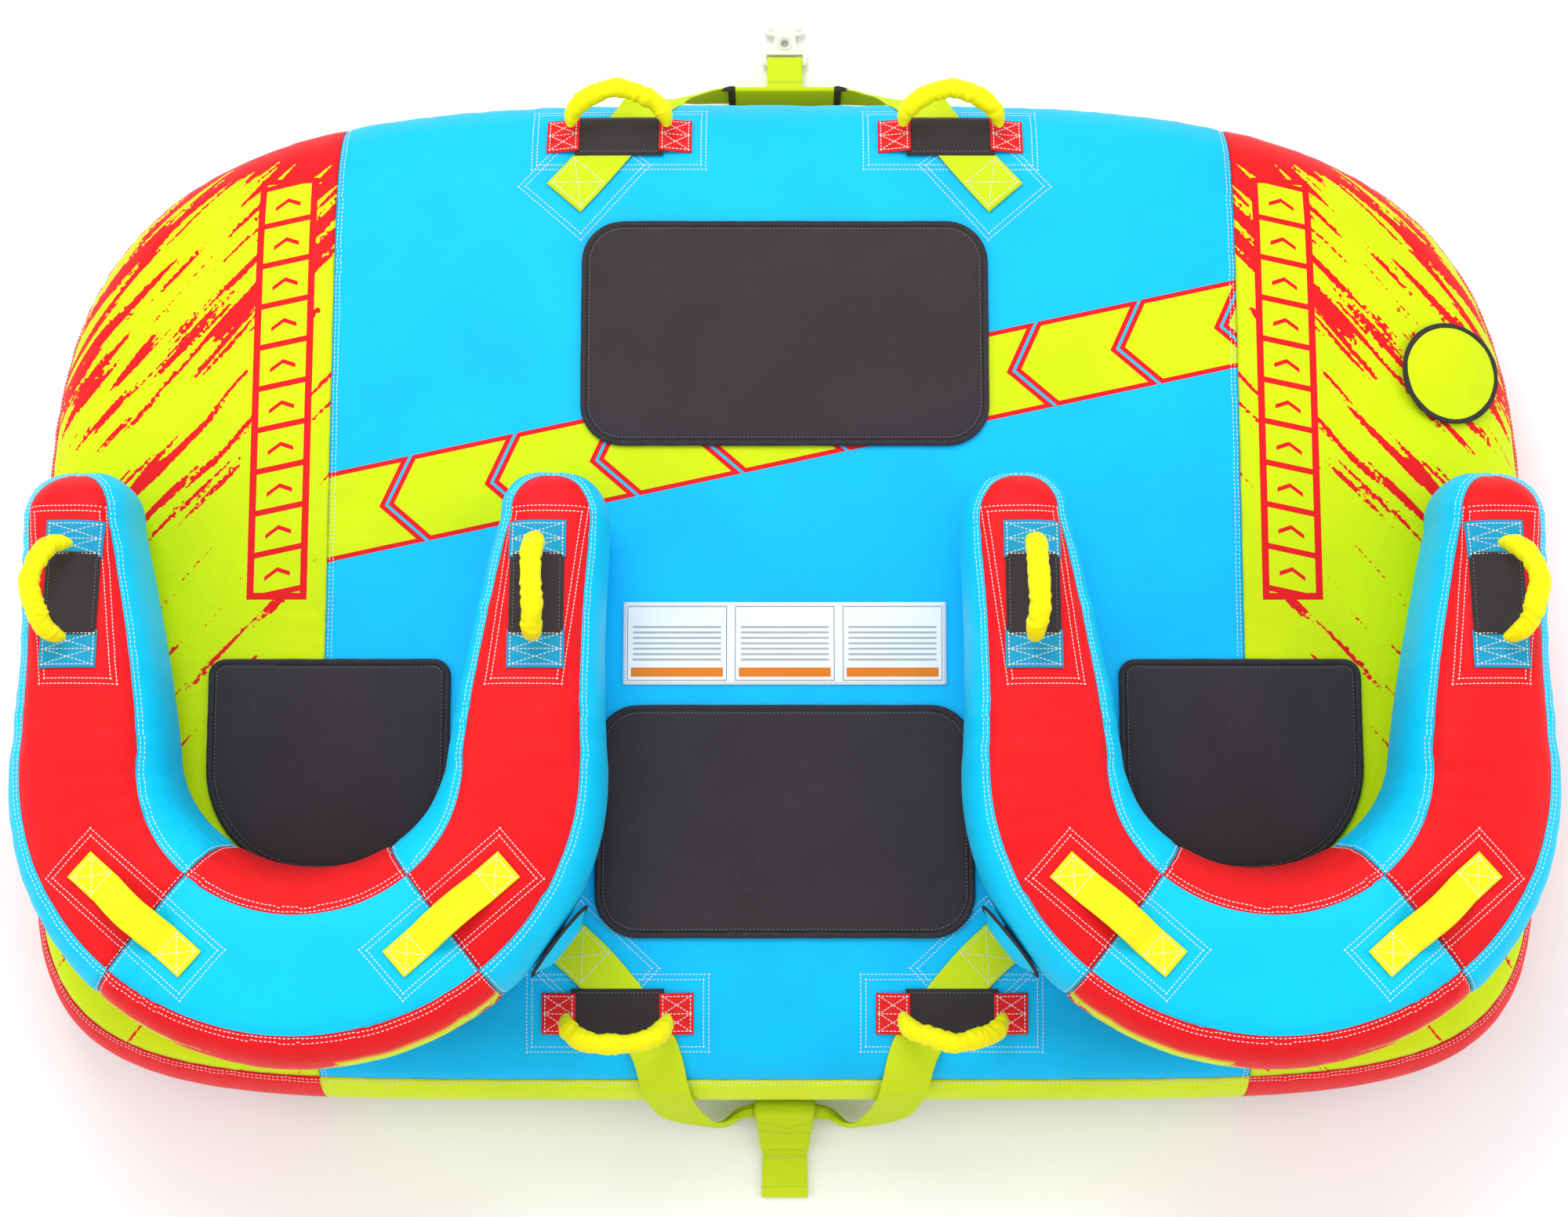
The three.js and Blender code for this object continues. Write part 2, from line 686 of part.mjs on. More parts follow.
function addHandles() {
  const { deckSpan, armSpan, deckLift, armLift } = HANDLE;
  const deckHandle = (name, frame, lean) => {
    const plate = handlePlate(deckSpan, deckLift, 52, 63, 76);
    addHandle(name, frame, deckSpan, deckLift, lean, plate, COLOUR.red);
  };
  const armHandle = (name, frame, lean) => {
    const plate = handlePlate(armSpan, armLift, 56, 84, 80);
    addHandle(name, frame, armSpan, armLift, lean, plate, COLOUR.teal);
  };
  const quarterTurn = Math.PI / 2;
  for (const [name, side] of [['left', -1], ['right', 1]]) {
    deckHandle(`front_${name}`, deckFrame(side * 265, 702), HANDLE.frontLean);
    deckHandle(`rear_${name}`, deckFrame(side * 255, -688), HANDLE.rearLean);
    const outboard = crownFrame(side, 0.33, side * quarterTurn);
    const inboard = crownFrame(side, 3.67, side * quarterTurn);
    armHandle(`${name}_outboard`, outboard, HANDLE.outboardLean);
    armHandle(`${name}_inboard`, inboard, 0);
  }
}

// ---------------------------------------------------------------- boarding straps

function boardingStrap() {
  const { length, width, thickness, sewn, bow } = BOARDING;
  const half = length / 2;
  const inner = half - sewn;
  const rise = (x) => {
    const share = Math.min(1, Math.abs(x) / inner);
    return bow * Math.pow(Math.cos((Math.PI / 2) * share) + 1e-12, 0.8);
  };
  const rings = [];
  const stations = [-1, -inner / half, -0.42, -0.28, -0.12, 0.12, 0.28, 0.42, inner / half, 1];
  for (const share of stations) {
    const x = share * half;
    const z = rise(x);
    rings.push([
      point(x, -width / 2, z),
      point(x, width / 2, z),
      point(x, width / 2, z + thickness),
      point(x, -width / 2, z + thickness),
    ]);
  }
  return skin(rings);
}

function addBoardingStraps() {
  for (const [name, side] of [['left', -1], ['right', 1]]) {
    for (const [place, along] of [['outboard', 1.52], ['inboard', 2.48]]) {
      const station = cockpitStation(along);
      const turn = Math.atan2(station.outward.x * side, -station.outward.y);
      const frame = crownFrame(side, along, turn);
      const lift = new THREE.Matrix4().makeTranslation(0, 0, SEAM);
      const node = `${name}_${place}_boarding_strap`;
      addNode(node, boardingStrap(), COLOUR.yellow, frame.multiply(lift));
    }
  }
}

// ---------------------------------------------------------------- tow harness

// A flat strap through stations of { at, across, width, thickness }. Both of its faces are
// split along the same diagonals, so that it keeps its thickness where it twists.
const STRAP_TOP_SIDE = 2;

function ribbon(stations) {
  const rings = stations.map((station, k) => {
    const before = stations[Math.max(0, k - 1)].at;
    const after = stations[Math.min(stations.length - 1, k + 1)].at;
    const along = after.clone().sub(before).normalize();
    const face = along.clone().cross(station.across).normalize();
    const across = face.clone().cross(along);
    const w = station.width / 2;
    const t = station.thickness / 2;
    const corner = (a, b) => station.at.clone().addScaledVector(across, a).addScaledVector(face, b);
    return [corner(-w, -t), corner(w, -t), corner(w, t), corner(-w, t)];
  });
  return skin(rings, false, STRAP_TOP_SIDE);
}

function strapOnDeck(x, y, across, lift) {
  const up = deckNormal(x, y);
  const at = point(x, y, deckTop(x, y)).addScaledVector(up, lift);
  const flat = unit(...across);
  flat.addScaledVector(up, -flat.dot(up)).normalize();
  return { at, across: flat, width: WEBBING.width, thickness: WEBBING.thickness };
}

function freeStrap(at, across, width = WEBBING.width, thickness = WEBBING.thickness) {
  return { at: point(...at), across: unit(...across), width, thickness };
}

// The right half is the left half turned over in X, run backwards.
function mirrored(stations) {
  const other = stations.slice(0, -1).reverse().map((station) => ({
    ...station,
    at: point(-station.at.x, station.at.y, station.at.z),
    across: point(-station.across.x, station.across.y, station.across.z),
  }));
  return [...stations, ...other];
}

const BELT_Y = 847;
const BELT_Z = 41.5;
const LOOP_PIVOT = point(0, BELT_Y + 13, BELT_Z);
const BAR = point(0, BELT_Y + 69, 12.5);

function addFrontHarness() {
  const half = [
    strapOnDeck(-352, 595, [0.755, -0.656, 0], 3),
    strapOnDeck(-310, 643, [0.755, -0.656, 0], 3.5),
    strapOnDeck(-268, 695, [0.755, -0.656, 0], 4),
    strapOnDeck(-240, 732, [0.8, -0.55, 0], 5),
    strapOnDeck(-220, 760, [0.85, -0.5, 0], 6),
    strapOnDeck(-204, 780, [0.9, -0.4, 0.2], 8),
    freeStrap([-188, 800, 160], [0.9, -0.05, 0.4]),
    freeStrap([-168, 820, 110], [0.8, 0, 0.6]),
    freeStrap([-138, 838, 66], [0.45, 0, 0.9]),
    freeStrap([-100, BELT_Y, BELT_Z], [0, 0, 1]),
    freeStrap([0, BELT_Y, BELT_Z], [0, 0, 1]),
  ];
  addNode('front_tow_bridle', ribbon(mirrored(half)), COLOUR.webbing);

  const sleeve = cut(
    block(point(-95, BELT_Y - 6, 1.2), point(95, BELT_Y + 6, 81.8)),
    block(point(-100, BELT_Y - 3.5, 3.6), point(100, BELT_Y + 3.5, 79.4)),
  );
  addNode('front_tow_sleeve', sleeve, COLOUR.webbing);

  addNode('front_tow_loop', loopBand(LOOP_PIVOT, BAR, 5, 10.5, 7.5, 60), COLOUR.webbing);
  const loop = object.getObjectByName('front_tow_loop');
  loop.userData.pivot = { at: LOOP_PIVOT.clone(), axis: point(1, 0, 0) };
}

// A band in the YZ plane from a sewn end round a bar, extruded across X.
function loopBand(start, bar, startRadius, barRadius, holeRadius, width) {
  const shape = new THREE.Shape();
  const along = Math.atan2(bar.z - start.z, bar.y - start.y);
  const gap = Math.hypot(bar.z - start.z, bar.y - start.y);
  const lean = Math.acos((startRadius - barRadius) / gap);
  shape.absarc(start.y, start.z, startRadius, along + lean, along - lean + 2 * Math.PI, false);
  shape.absarc(bar.y, bar.z, barRadius, along - lean, along + lean, false);
  if (holeRadius > 0) {
    const hole = new THREE.Path();
    hole.absarc(bar.y, bar.z, holeRadius, 0, 2 * Math.PI, true);
    shape.holes.push(hole);
  }
  const settings = { depth: width, bevelEnabled: false, curveSegments: 4 };
  const band = new THREE.ExtrudeGeometry(shape, settings).translate(0, 0, -width / 2);
  return turnToX(band);
}

// Turns a shape drawn in XY and extruded along Z so that it is drawn in YZ and runs along X.
function turnToX(geometry) {
  const basis = new THREE.Matrix4().makeBasis(point(0, 1, 0), point(0, 0, 1), point(1, 0, 0));
  return geometry.applyMatrix4(basis);
}

function addConnector() {
  const shape = new THREE.Shape();
  const low = BAR.y - 4.5;
  const outline = [
    [-37, low], [37, low], [37, BAR.y + 22], [19, BAR.y + 30], [16, BAR.y + 48],
    [33, BAR.y + 50], [33, BAR.y + 68], [-33, BAR.y + 68], [-33, BAR.y + 50],
    [-16, BAR.y + 48], [-19, BAR.y + 30], [-37, BAR.y + 22],
  ];
  shape.setFromPoints(outline.map(([x, y]) => new THREE.Vector2(x, y)));
  const slot = new THREE.Path();
  slot.setFromPoints([
    new THREE.Vector2(-32, BAR.y + 4.5),
    new THREE.Vector2(-32, BAR.y + 15),
    new THREE.Vector2(32, BAR.y + 15),
    new THREE.Vector2(32, BAR.y + 4.5),
  ]);
  const eye = new THREE.Path();
  eye.absarc(0, BAR.y + 34, 8, 0, 2 * Math.PI, true);
  shape.holes.push(slot, eye);
  const plate = new THREE.ExtrudeGeometry(shape, { depth: 10, bevelEnabled: false, curveSegments: 4 });
  plate.translate(0, 0, BAR.z - 5);
  const mesh = addNode('quick_connector', plate, COLOUR.white, null, 0.3);
  mesh.userData.pivot = { at: BAR.clone(), axis: point(1, 0, 0) };
}

const KNOT = point(0, -846, 21.5);

function addRearHarness() {
  const half = [
    strapOnDeck(-335, -578, [0.78, 0.62, 0], 3),
    strapOnDeck(-292, -618, [0.78, 0.62, 0], 3),
    strapOnDeck(-245, -673, [0.78, 0.62, 0], 3.5),
    strapOnDeck(-205, -730, [0.9, 0.4, 0], 4.5),
    strapOnDeck(-192, -762, [1, 0.2, 0], 5.5),
    strapOnDeck(-186, -790, [1, 0.1, 0], 7),
    strapOnDeck(-180, -808, [1, 0, 0], 9),
    freeStrap([-172, -836, 150], [1, 0, 0.1]),
    freeStrap([-160, -852, 92], [0.85, 0.1, 0.5]),
    freeStrap([-136, -864, 56], [0.45, 0.1, 0.9], 70),
    freeStrap([-100, -866, 38], [0, 0.1, 1], 56, 5),
    freeStrap([-62, KNOT.y - 2, 22.5], [0, 0, 1], 20, 14),
    freeStrap([0, KNOT.y, KNOT.z], [0, 0, 1], 18, 18),
  ];
  addNode('rear_tow_bridle', ribbon(mirrored(half)), COLOUR.webbing);

  const knotWidth = 92;
  const knot = loopBand(KNOT, point(0, KNOT.y - 52, 13), 20, 11, 0, knotWidth);
  const tail = block(point(-38, KNOT.y - 138, 2), point(38, KNOT.y - 40, 10));
  const core = new THREE.CylinderGeometry(15, 15, 200, 12).rotateZ(Math.PI / 2);
  core.translate(KNOT.x, KNOT.y, KNOT.z);
  const loop = addNode('rear_tow_loop', cut(join(knot, tail), core), COLOUR.webbing);
  loop.userData.pivot = { at: KNOT.clone(), axis: point(-1, 0, 0) };
}

// ---------------------------------------------------------------- assembly

addDeck();
addZipper();
addPads();
addCockpit('left', -1);
addCockpit('right', 1);
addValve('main', deckValveFrame, VALVE.deckFlap, COLOUR.lime);
addHandles();
addBoardingStraps();
addFrontHarness();
addConnector();
addRearHarness();

export default object;
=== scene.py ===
import math

import bmesh
import bpy
import numpy as np
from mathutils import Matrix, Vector
from mathutils.bvhtree import BVHTree
from mathutils.kdtree import KDTree


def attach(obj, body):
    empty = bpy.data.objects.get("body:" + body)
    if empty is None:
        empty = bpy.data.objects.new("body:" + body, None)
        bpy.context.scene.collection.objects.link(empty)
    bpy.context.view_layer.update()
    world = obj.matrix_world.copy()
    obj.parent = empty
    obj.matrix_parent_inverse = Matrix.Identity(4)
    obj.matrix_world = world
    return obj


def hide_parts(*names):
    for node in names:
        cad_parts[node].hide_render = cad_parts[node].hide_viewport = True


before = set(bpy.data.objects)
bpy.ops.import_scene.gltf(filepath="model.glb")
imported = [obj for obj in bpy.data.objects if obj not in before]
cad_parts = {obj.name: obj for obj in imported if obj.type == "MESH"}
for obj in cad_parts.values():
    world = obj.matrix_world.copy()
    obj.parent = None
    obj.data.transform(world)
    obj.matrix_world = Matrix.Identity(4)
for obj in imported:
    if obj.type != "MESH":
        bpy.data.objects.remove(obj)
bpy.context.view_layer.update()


# ---- Camera -------------------------------------------------------------------------------
# It hangs over the rear of the tube and looks down and slightly forward, so the whole deck
# fills the frame with the front tow point at the top.

camera_data = bpy.data.cameras.new("camera")
camera_data.lens = 61.2
camera_data.sensor_width = 36
camera = bpy.data.objects.new("camera", camera_data)
camera.location = (-0.0012, -0.6422, 4.3996)
camera.rotation_euler = (math.radians(8), 0, 0)
bpy.context.scene.collection.objects.link(camera)
bpy.context.scene.camera = camera


# ---- Studio -------------------------------------------------------------------------------
# A white floor and sky, a broad soft light high over the front of the tube, and a weaker
# fill from each side, so the rear walls fall into a slightly deeper tone.

class Signal:
    """A value, colour or vector in a finish. Arithmetic on it adds the nodes that it needs."""

    def __init__(self, finish, socket):
        self.finish = finish
        self.socket = socket

    def maths(self, operation, *others):
        return self.finish.maths(operation, self, *others)

    def __add__(self, other):
        return self.maths("ADD", other)

    def __radd__(self, other):
        return self.maths("ADD", other)

    def __sub__(self, other):
        return self.maths("SUBTRACT", other)

    def __rsub__(self, other):
        return self.finish.maths("SUBTRACT", other, self)

    def __mul__(self, other):
        return self.maths("MULTIPLY", other)

    def __rmul__(self, other):
        return self.maths("MULTIPLY", other)

    def __truediv__(self, other):
        return self.maths("DIVIDE", other)

    def __abs__(self):
        return self.maths("ABSOLUTE")


class Finish:
    """A material under construction, with its shader's fixed sockets set by name."""

    def __init__(self, name, **fixed):
        self.material = bpy.data.materials.new(name)
        self.material.use_nodes = True
        self.tree = self.material.node_tree
        self.tree.nodes.clear()
        self.shader = self.tree.nodes.new("ShaderNodeBsdfPrincipled")
        surface = self.tree.nodes.new("ShaderNodeOutputMaterial")
        self.tree.links.new(self.shader.outputs[0], surface.inputs[0])
        for socket, value in fixed.items():
            self.shader.inputs[socket.replace("_", " ")].default_value = value

    def plug(self, socket, value):
        if isinstance(value, Signal):
            self.tree.links.new(value.socket, socket)
        else:
            socket.default_value = value

    def node(self, kind, settings=None, sockets=None, out=0):
        node = self.tree.nodes.new(kind)
        for key, value in (settings or {}).items():
            setattr(node, key, value)
        for key, value in (sockets or {}).items():
            self.plug(node.inputs[key], value)
        return Signal(self, node.outputs[out])

    def maths(self, operation, *values):
        return self.node("ShaderNodeMath", {"operation": operation}, dict(enumerate(values)))

    def mix(self, first, second, share):
        return self.node("ShaderNodeMix", {"data_type": "RGBA"}, {0: share, 6: first, 7: second}, out=2)

    def rise(self, value, low, high):
        settings = {"interpolation_type": "SMOOTHSTEP"}
        return self.node("ShaderNodeMapRange", settings, {0: value, 1: low, 2: high})

    def vector(self, x, y, z=0.0):
        return self.node("ShaderNodeCombineXYZ", None, {0: x, 1: y, 2: z})

    def noise(self, place, scale, detail=2.0):
        return self.node("ShaderNodeTexNoise", None, {"Vector": place, "Scale": scale, "Detail": detail})

    def place(self):
        return self.node("ShaderNodeTexCoord", out=3)

    def cloth(self):
        """The piece's own flat cloth coordinates, in metres."""
        flat = self.node("ShaderNodeUVMap", {"uv_map": "cloth"})
        return [self.node("ShaderNodeSeparateXYZ", None, {0: flat}, out=k) for k in (0, 1)]

    def bump(self, height, distance, strength=1.0, under=None):
        sockets = {"Height": height, "Distance": distance, "Strength": strength}
        if under is not None:
            sockets["Normal"] = under
        return self.node("ShaderNodeBump", None, sockets)

    def show(self, **links):
        for socket, value in links.items():
            self.plug(self.shader.inputs[socket.replace("_", " ")], value)
        return self.material


def dye(red, green, blue):
    """A linear colour from its 0 to 255 parts."""
    def linear(part):
        share = part / 255
        return share / 12.92 if share <= 0.04045 else ((share + 0.055) / 1.055) ** 2.4
    return (linear(red), linear(green), linear(blue), 1.0)


def floor_finish():
    finish = Finish("studio_floor", Roughness=0.9)
    grain = finish.noise(finish.place(), 3.0)
    return finish.show(Base_Color=finish.mix(dye(248, 248, 248), dye(255, 255, 255), grain))


def studio_floor(half=9.0):
    mesh = bpy.data.meshes.new("studio_floor")
    corners = [(-half, -half, -0.0004), (half, -half, -0.0004), (half, half, -0.0004), (-half, half, -0.0004)]
    mesh.from_pydata(corners, [], [(0, 1, 2, 3)])
    mesh.materials.append(floor_finish())
    floor = bpy.data.objects.new("studio_floor", mesh)
    bpy.context.scene.collection.objects.link(floor)


def soft_light(name, place, aim, size, power):
    lamp = bpy.data.lights.new(name, "AREA")
    lamp.shape = "DISK"
    lamp.size = size
    lamp.energy = power
    light = bpy.data.objects.new(name, lamp)
    light.location = place
    light.rotation_euler = (Vector(aim) - Vector(place)).to_track_quat("-Z", "Y").to_euler()
    bpy.context.scene.collection.objects.link(light)


studio_floor()
soft_light("key_light", (-0.6, 2.6, 4.2), (0, 0, 0.2), 2.6, 90)
soft_light("left_fill", (-4.2, -0.6, 3.0), (0, 0, 0.2), 3.0, 40)
soft_light("right_fill", (4.2, -0.4, 3.0), (0, 0, 0.2), 3.0, 40)
sky = bpy.data.worlds.new("studio_sky")
sky.use_nodes = True
sky.node_tree.nodes["Background"].inputs[0].default_value = (1.0, 1.0, 1.0, 1.0)
sky.node_tree.nodes["Background"].inputs[1].default_value = 0.85
bpy.context.scene.world = sky
bpy.context.scene.view_settings.view_transform = "Standard"


# ---- Deck cover ---------------------------------------------------------------------------
# The deck is an air bladder in a zipped cover of coated nylon: a blue middle panel and two
# printed end panels, sewn to a band round the side and to a dark base. Air draws each panel
# tight, so the cloth dips along a seam and puckers beside it.

deck_half_width = 1.19
deck_front, deck_rear, deck_middle_y = 0.863, 0.749, -0.075
deck_rise, deck_drop = 0.145, 0.15
deck_edge_power = 14
front_power, rear_power = 3.6, 6.3
panel_seam_x = 0.715
seam_level_side, seam_level_front, seam_level_rear, seam_level_low = 0.35, 0.25, 0.68, -0.6

blue = dye(0, 194, 252)
wall_blue = dye(0, 205, 250)
lime = dye(214, 236, 0)
red = dye(236, 18, 26)
yellow = dye(250, 240, 0)
white_thread = dye(245, 246, 244)


def deck_level(x, y):
    """How high the deck's skin is over its middle: 1 on the top and 0 at its outline."""
    ahead = y - deck_middle_y
    power = np.where(ahead > 0, front_power, rear_power)
    depth = np.where(ahead > 0, deck_front, deck_rear)
    reach = (np.abs(x / deck_half_width) ** power + np.abs(ahead / depth) ** power) ** (1 / power)
    return np.sqrt(np.maximum(0, 1 - np.minimum(reach, 1) ** deck_edge_power))


def deck_top(x, y):
    """The height of the deck top over a place in plan."""
    return deck_rise * (1 + deck_level(x, y))


def outline_way(turn):
    """The deck's outline from its middle, at angles that run anticlockwise from +X."""
    c, s = np.cos(turn), np.sin(turn)
    power = np.where(s > 0, front_power, rear_power)
    depth = np.where(s > 0, deck_front, deck_rear)
    x = deck_half_width * np.sign(c) * np.abs(c) ** (2 / power)
    y = depth * np.sign(s) * np.abs(s) ** (2 / power)
    return x, y, np.abs(y) / depth


def skin_point(turn, level):
    """A point of the deck's skin: level is 1 on the top, 0 halfway down and -1 underneath."""
    x, y, _ = outline_way(turn)
    reach = (1 - level ** 2) ** (1 / deck_edge_power)
    z = deck_rise + np.where(level > 0, deck_rise, deck_drop) * level
    return np.stack([x * reach, deck_middle_y + y * reach, np.maximum(0, z) + 0 * x], -1)


def top_seam_level(turn):
    _, y, share = outline_way(turn)
    end = np.where(y > 0, seam_level_front, seam_level_rear)
    return seam_level_side + (end - seam_level_side) * share ** 3


def run_lengths(path):
    """How far along its path each point lies, in metres."""
    steps = np.linalg.norm(np.diff(path, axis=-2), axis=-1)
    return np.concatenate([np.zeros(steps.shape[:-1] + (1,)), np.cumsum(steps, axis=-1)], axis=-1)


def respaced(path, count):
    """The same path with evenly spaced points."""
    run = run_lengths(path)
    even = np.linspace(0, run[-1], count)
    return np.stack([np.interp(even, run, path[:, k]) for k in range(path.shape[1])], -1)


fine_turns = np.linspace(-math.pi, math.pi, 24001)
top_seam = skin_point(fine_turns, top_seam_level(fine_turns))
is_front = fine_turns > 0
is_rear = fine_turns < 0


def seam_y(x, front):
    """Where the top panel meets the band, ahead of or behind the middle at this x."""
    half = top_seam[is_front if front else is_rear]
    order = np.argsort(half[:, 0])
    return np.interp(x, half[order, 0], half[order, 1])


def wander(place, pitch, seed):
    """A smooth run of random values between -1 and 1, a new one every pitch."""
    knots = np.random.default_rng(seed).uniform(-1, 1, 4096)
    steps = np.asarray(place) / pitch
    low = np.floor(steps).astype(int)
    share = steps - low
    share = share * share * (3 - 2 * share)
    return knots[low % 4096] * (1 - share) + knots[(low + 1) % 4096] * share


def ripple(first, second, pitch, seed):
    """Smooth random values over two coordinates."""
    tilted = wander(first * 0.8 + second * 0.6, pitch, seed)
    crossed = wander(second * 0.8 - first * 0.6, pitch, seed + 1)
    return (tilted + crossed + wander(first * 0.3 - second * 0.95, pitch * 0.7, seed + 2)) / 3


def cloth_piece(name, places, flat, finish, up=None):
    """A sheet over a grid of places, with its cloth coordinates. Doubled points are merged."""
    rows, columns = places.shape[:2]
    corner = np.arange(rows * columns).reshape(rows, columns)
    faces = np.stack([corner[:-1, :-1], corner[:-1, 1:], corner[1:, 1:], corner[1:, :-1]], -1).reshape(-1, 4)
    mesh = bpy.data.meshes.new(name)
    mesh.from_pydata(places.reshape(-1, 3).tolist(), [], faces.tolist())
    layer = mesh.uv_layers.new(name="cloth")
    layer.data.foreach_set("uv", flat.reshape(-1, 2)[faces.ravel()].astype(np.float32).ravel())
    piece = bpy.data.objects.new(name, mesh)
    bpy.context.scene.collection.objects.link(piece)
    mesh.materials.append(finish)
    body = bmesh.new()
    body.from_mesh(mesh)
    bmesh.ops.remove_doubles(body, verts=body.verts, dist=2e-5)
    bmesh.ops.dissolve_degenerate(body, edges=body.edges, dist=1e-6)
    if up is None:
        bmesh.ops.recalc_face_normals(body, faces=body.faces)
    elif sum((f.normal.dot(Vector(up)) * f.calc_area() for f in body.faces)) < 0:
        bmesh.ops.reverse_faces(body, faces=body.faces)
    body.to_mesh(mesh)
    body.free()
    mesh.shade_smooth()
    return piece


def points_of(piece):
    """The places of a mesh's points."""
    flat = np.zeros(len(piece.data.vertices) * 3, np.float32)
    piece.data.vertices.foreach_get("co", flat)
    return flat.reshape(-1, 3).astype(float)


def normals_of(piece):
    """The ways a mesh's points face."""
    return np.array([v.normal for v in piece.data.vertices], float)


def set_points(piece, places):
    """Move a mesh's points."""
    piece.data.vertices.foreach_set("co", places.astype(np.float32).ravel())
    piece.data.update()


def seam_distances(places, seams):
    """How far each place is from the nearest seam, and how far along that seam it lies."""
    path = np.concatenate(seams)
    run = np.concatenate([run_lengths(seam) + 10 * k for k, seam in enumerate(seams)])
    tree = KDTree(len(path))
    for k, place in enumerate(path):
        tree.insert(place, k)
    tree.balance()
    found = [tree.find(place) for place in places]
    return np.array([f[2] for f in found]), run[[f[1] for f in found]]


def draw_in(piece, seams, seed, dip=0.0026, pucker=0.0013, fade=0.045, slack=0.0012):
    """Dips the cloth along its seams and puckers it beside them, and keeps the distance to
    the seam on the piece, from which its finish paints shade along the seam."""
    places, normals = points_of(piece), normals_of(piece)
    away, run = seam_distances(places, seams)
    ridge = wander(run, 0.017, seed) + 0.6 * wander(run, 0.041, seed + 1)
    lift = -dip * np.exp(-(away / 0.0085) ** 2)
    lift += pucker * ridge * np.exp(-away / fade) * (1 - np.exp(-(away / 0.006) ** 2))
    lift -= slack * (0.5 + 0.5 * ripple(places[:, 0] + places[:, 2], places[:, 1], 0.16, seed + 2))
    set_points(piece, places + normals * lift[:, None])
    layer = piece.data.attributes.new("seam", "FLOAT", "POINT")
    layer.data.foreach_set("value", away.astype(np.float32))


def thicken(piece, depth):
    """Gives a sheet its thickness, on the inner side."""
    wall = piece.modifiers.new("wall", "SOLIDIFY")
    wall.thickness = depth
    wall.offset = -1
    settle(piece)


def settle(piece):
    """Turns a piece's modifiers into its plain mesh."""
    graph = bpy.context.evaluated_depsgraph_get()
    mesh = bpy.data.meshes.new_from_object(piece.evaluated_get(graph))
    piece.modifiers.clear()
    old, piece.data = piece.data, mesh
    bpy.data.meshes.remove(old)
    mesh.name = piece.name


def fit(piece, body, slot, *nodes):
    """Say which body a piece rides on, and hide the plain parts it stands for. The slot is not used."""
    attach(piece, body)
    if nodes:
        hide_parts(*nodes)


def nylon_relief(finish, weave=0.0011, crinkle=1.0):
    """The normal of coated nylon: a plain weave over soft, long creases."""
    u, v = finish.cloth()
    creases = finish.noise(finish.vector(u, v), 14.0, 4.0) + 0.35 * finish.noise(finish.vector(v, u), 55.0)
    soft = finish.bump(creases, 0.004 * crinkle, 0.5)
    turn = 2 * math.pi / weave
    threads = (u * turn).maths("SINE") * (v * turn).maths("SINE")
    return finish.bump(threads, 0.00012, 0.35, under=soft)


def cover_finish(name, colour_of, roughness=0.46, seam_shade_on=True):
    """Coated nylon. colour_of returns its dyed or printed colour from the cloth coordinates. The last
    argument turns on painted shade that darkens the cloth within a few millimetres of each seam.
    """
    finish = Finish(name, Sheen_Weight=0.02, Sheen_Roughness=0.4)
    finish.shader.inputs["Specular IOR Level"].default_value = 0.17
    u, v = finish.cloth()
    colour = colour_of(finish, u, v)
    mottle = finish.noise(finish.vector(u, v), 5.0, 3.0)
    darker = finish.mix(colour, (0.0, 0.0, 0.0, 1.0), 0.09)
    toned = finish.mix(colour, darker, finish.rise(mottle, 0.35, 0.75))
    # Painted shade: within 4.5 mm of a seam the colour is mixed towards a dark blue, standing in for the
    # shade in the seam's dip.
    seam = finish.node("ShaderNodeAttribute", {"attribute_name": "seam"}, out=2)
    shade = (0.34 if seam_shade_on else 0.0) * (1 - finish.rise(seam, 0.0, 0.0045))
    rough = roughness + 0.12 * finish.noise(finish.vector(u, v), 30.0)
    return finish.show(
        Base_Color=finish.mix(toned, (0.0, 0.02, 0.06, 1.0), shade),
        Roughness=rough,
        Normal=nylon_relief(finish),
    )


def middle_print(finish, u, v):
    """A slanted run of lime chevrons with a red outline across the blue panel."""
    slope = math.radians(12.3)
    along = u * math.cos(slope) + v * math.sin(slope)
    over = v * math.cos(slope) - u * math.sin(slope) - 0.2296
    height = abs(over)
    pitch, half_height, outline = 0.168, 0.062, 0.0075
    cell = ((along - height * 0.75) / pitch).maths("FRACT") * pitch
    from_gap = (abs(cell - pitch / 2) - 0.012) * 0.8
    depth = (half_height - height).maths("MINIMUM", from_gap)
    soft = 0.0004
    printed = finish.mix(blue, red, finish.rise(depth, -outline - soft, -outline + soft))
    return finish.mix(printed, lime, finish.rise(depth, -soft, soft))


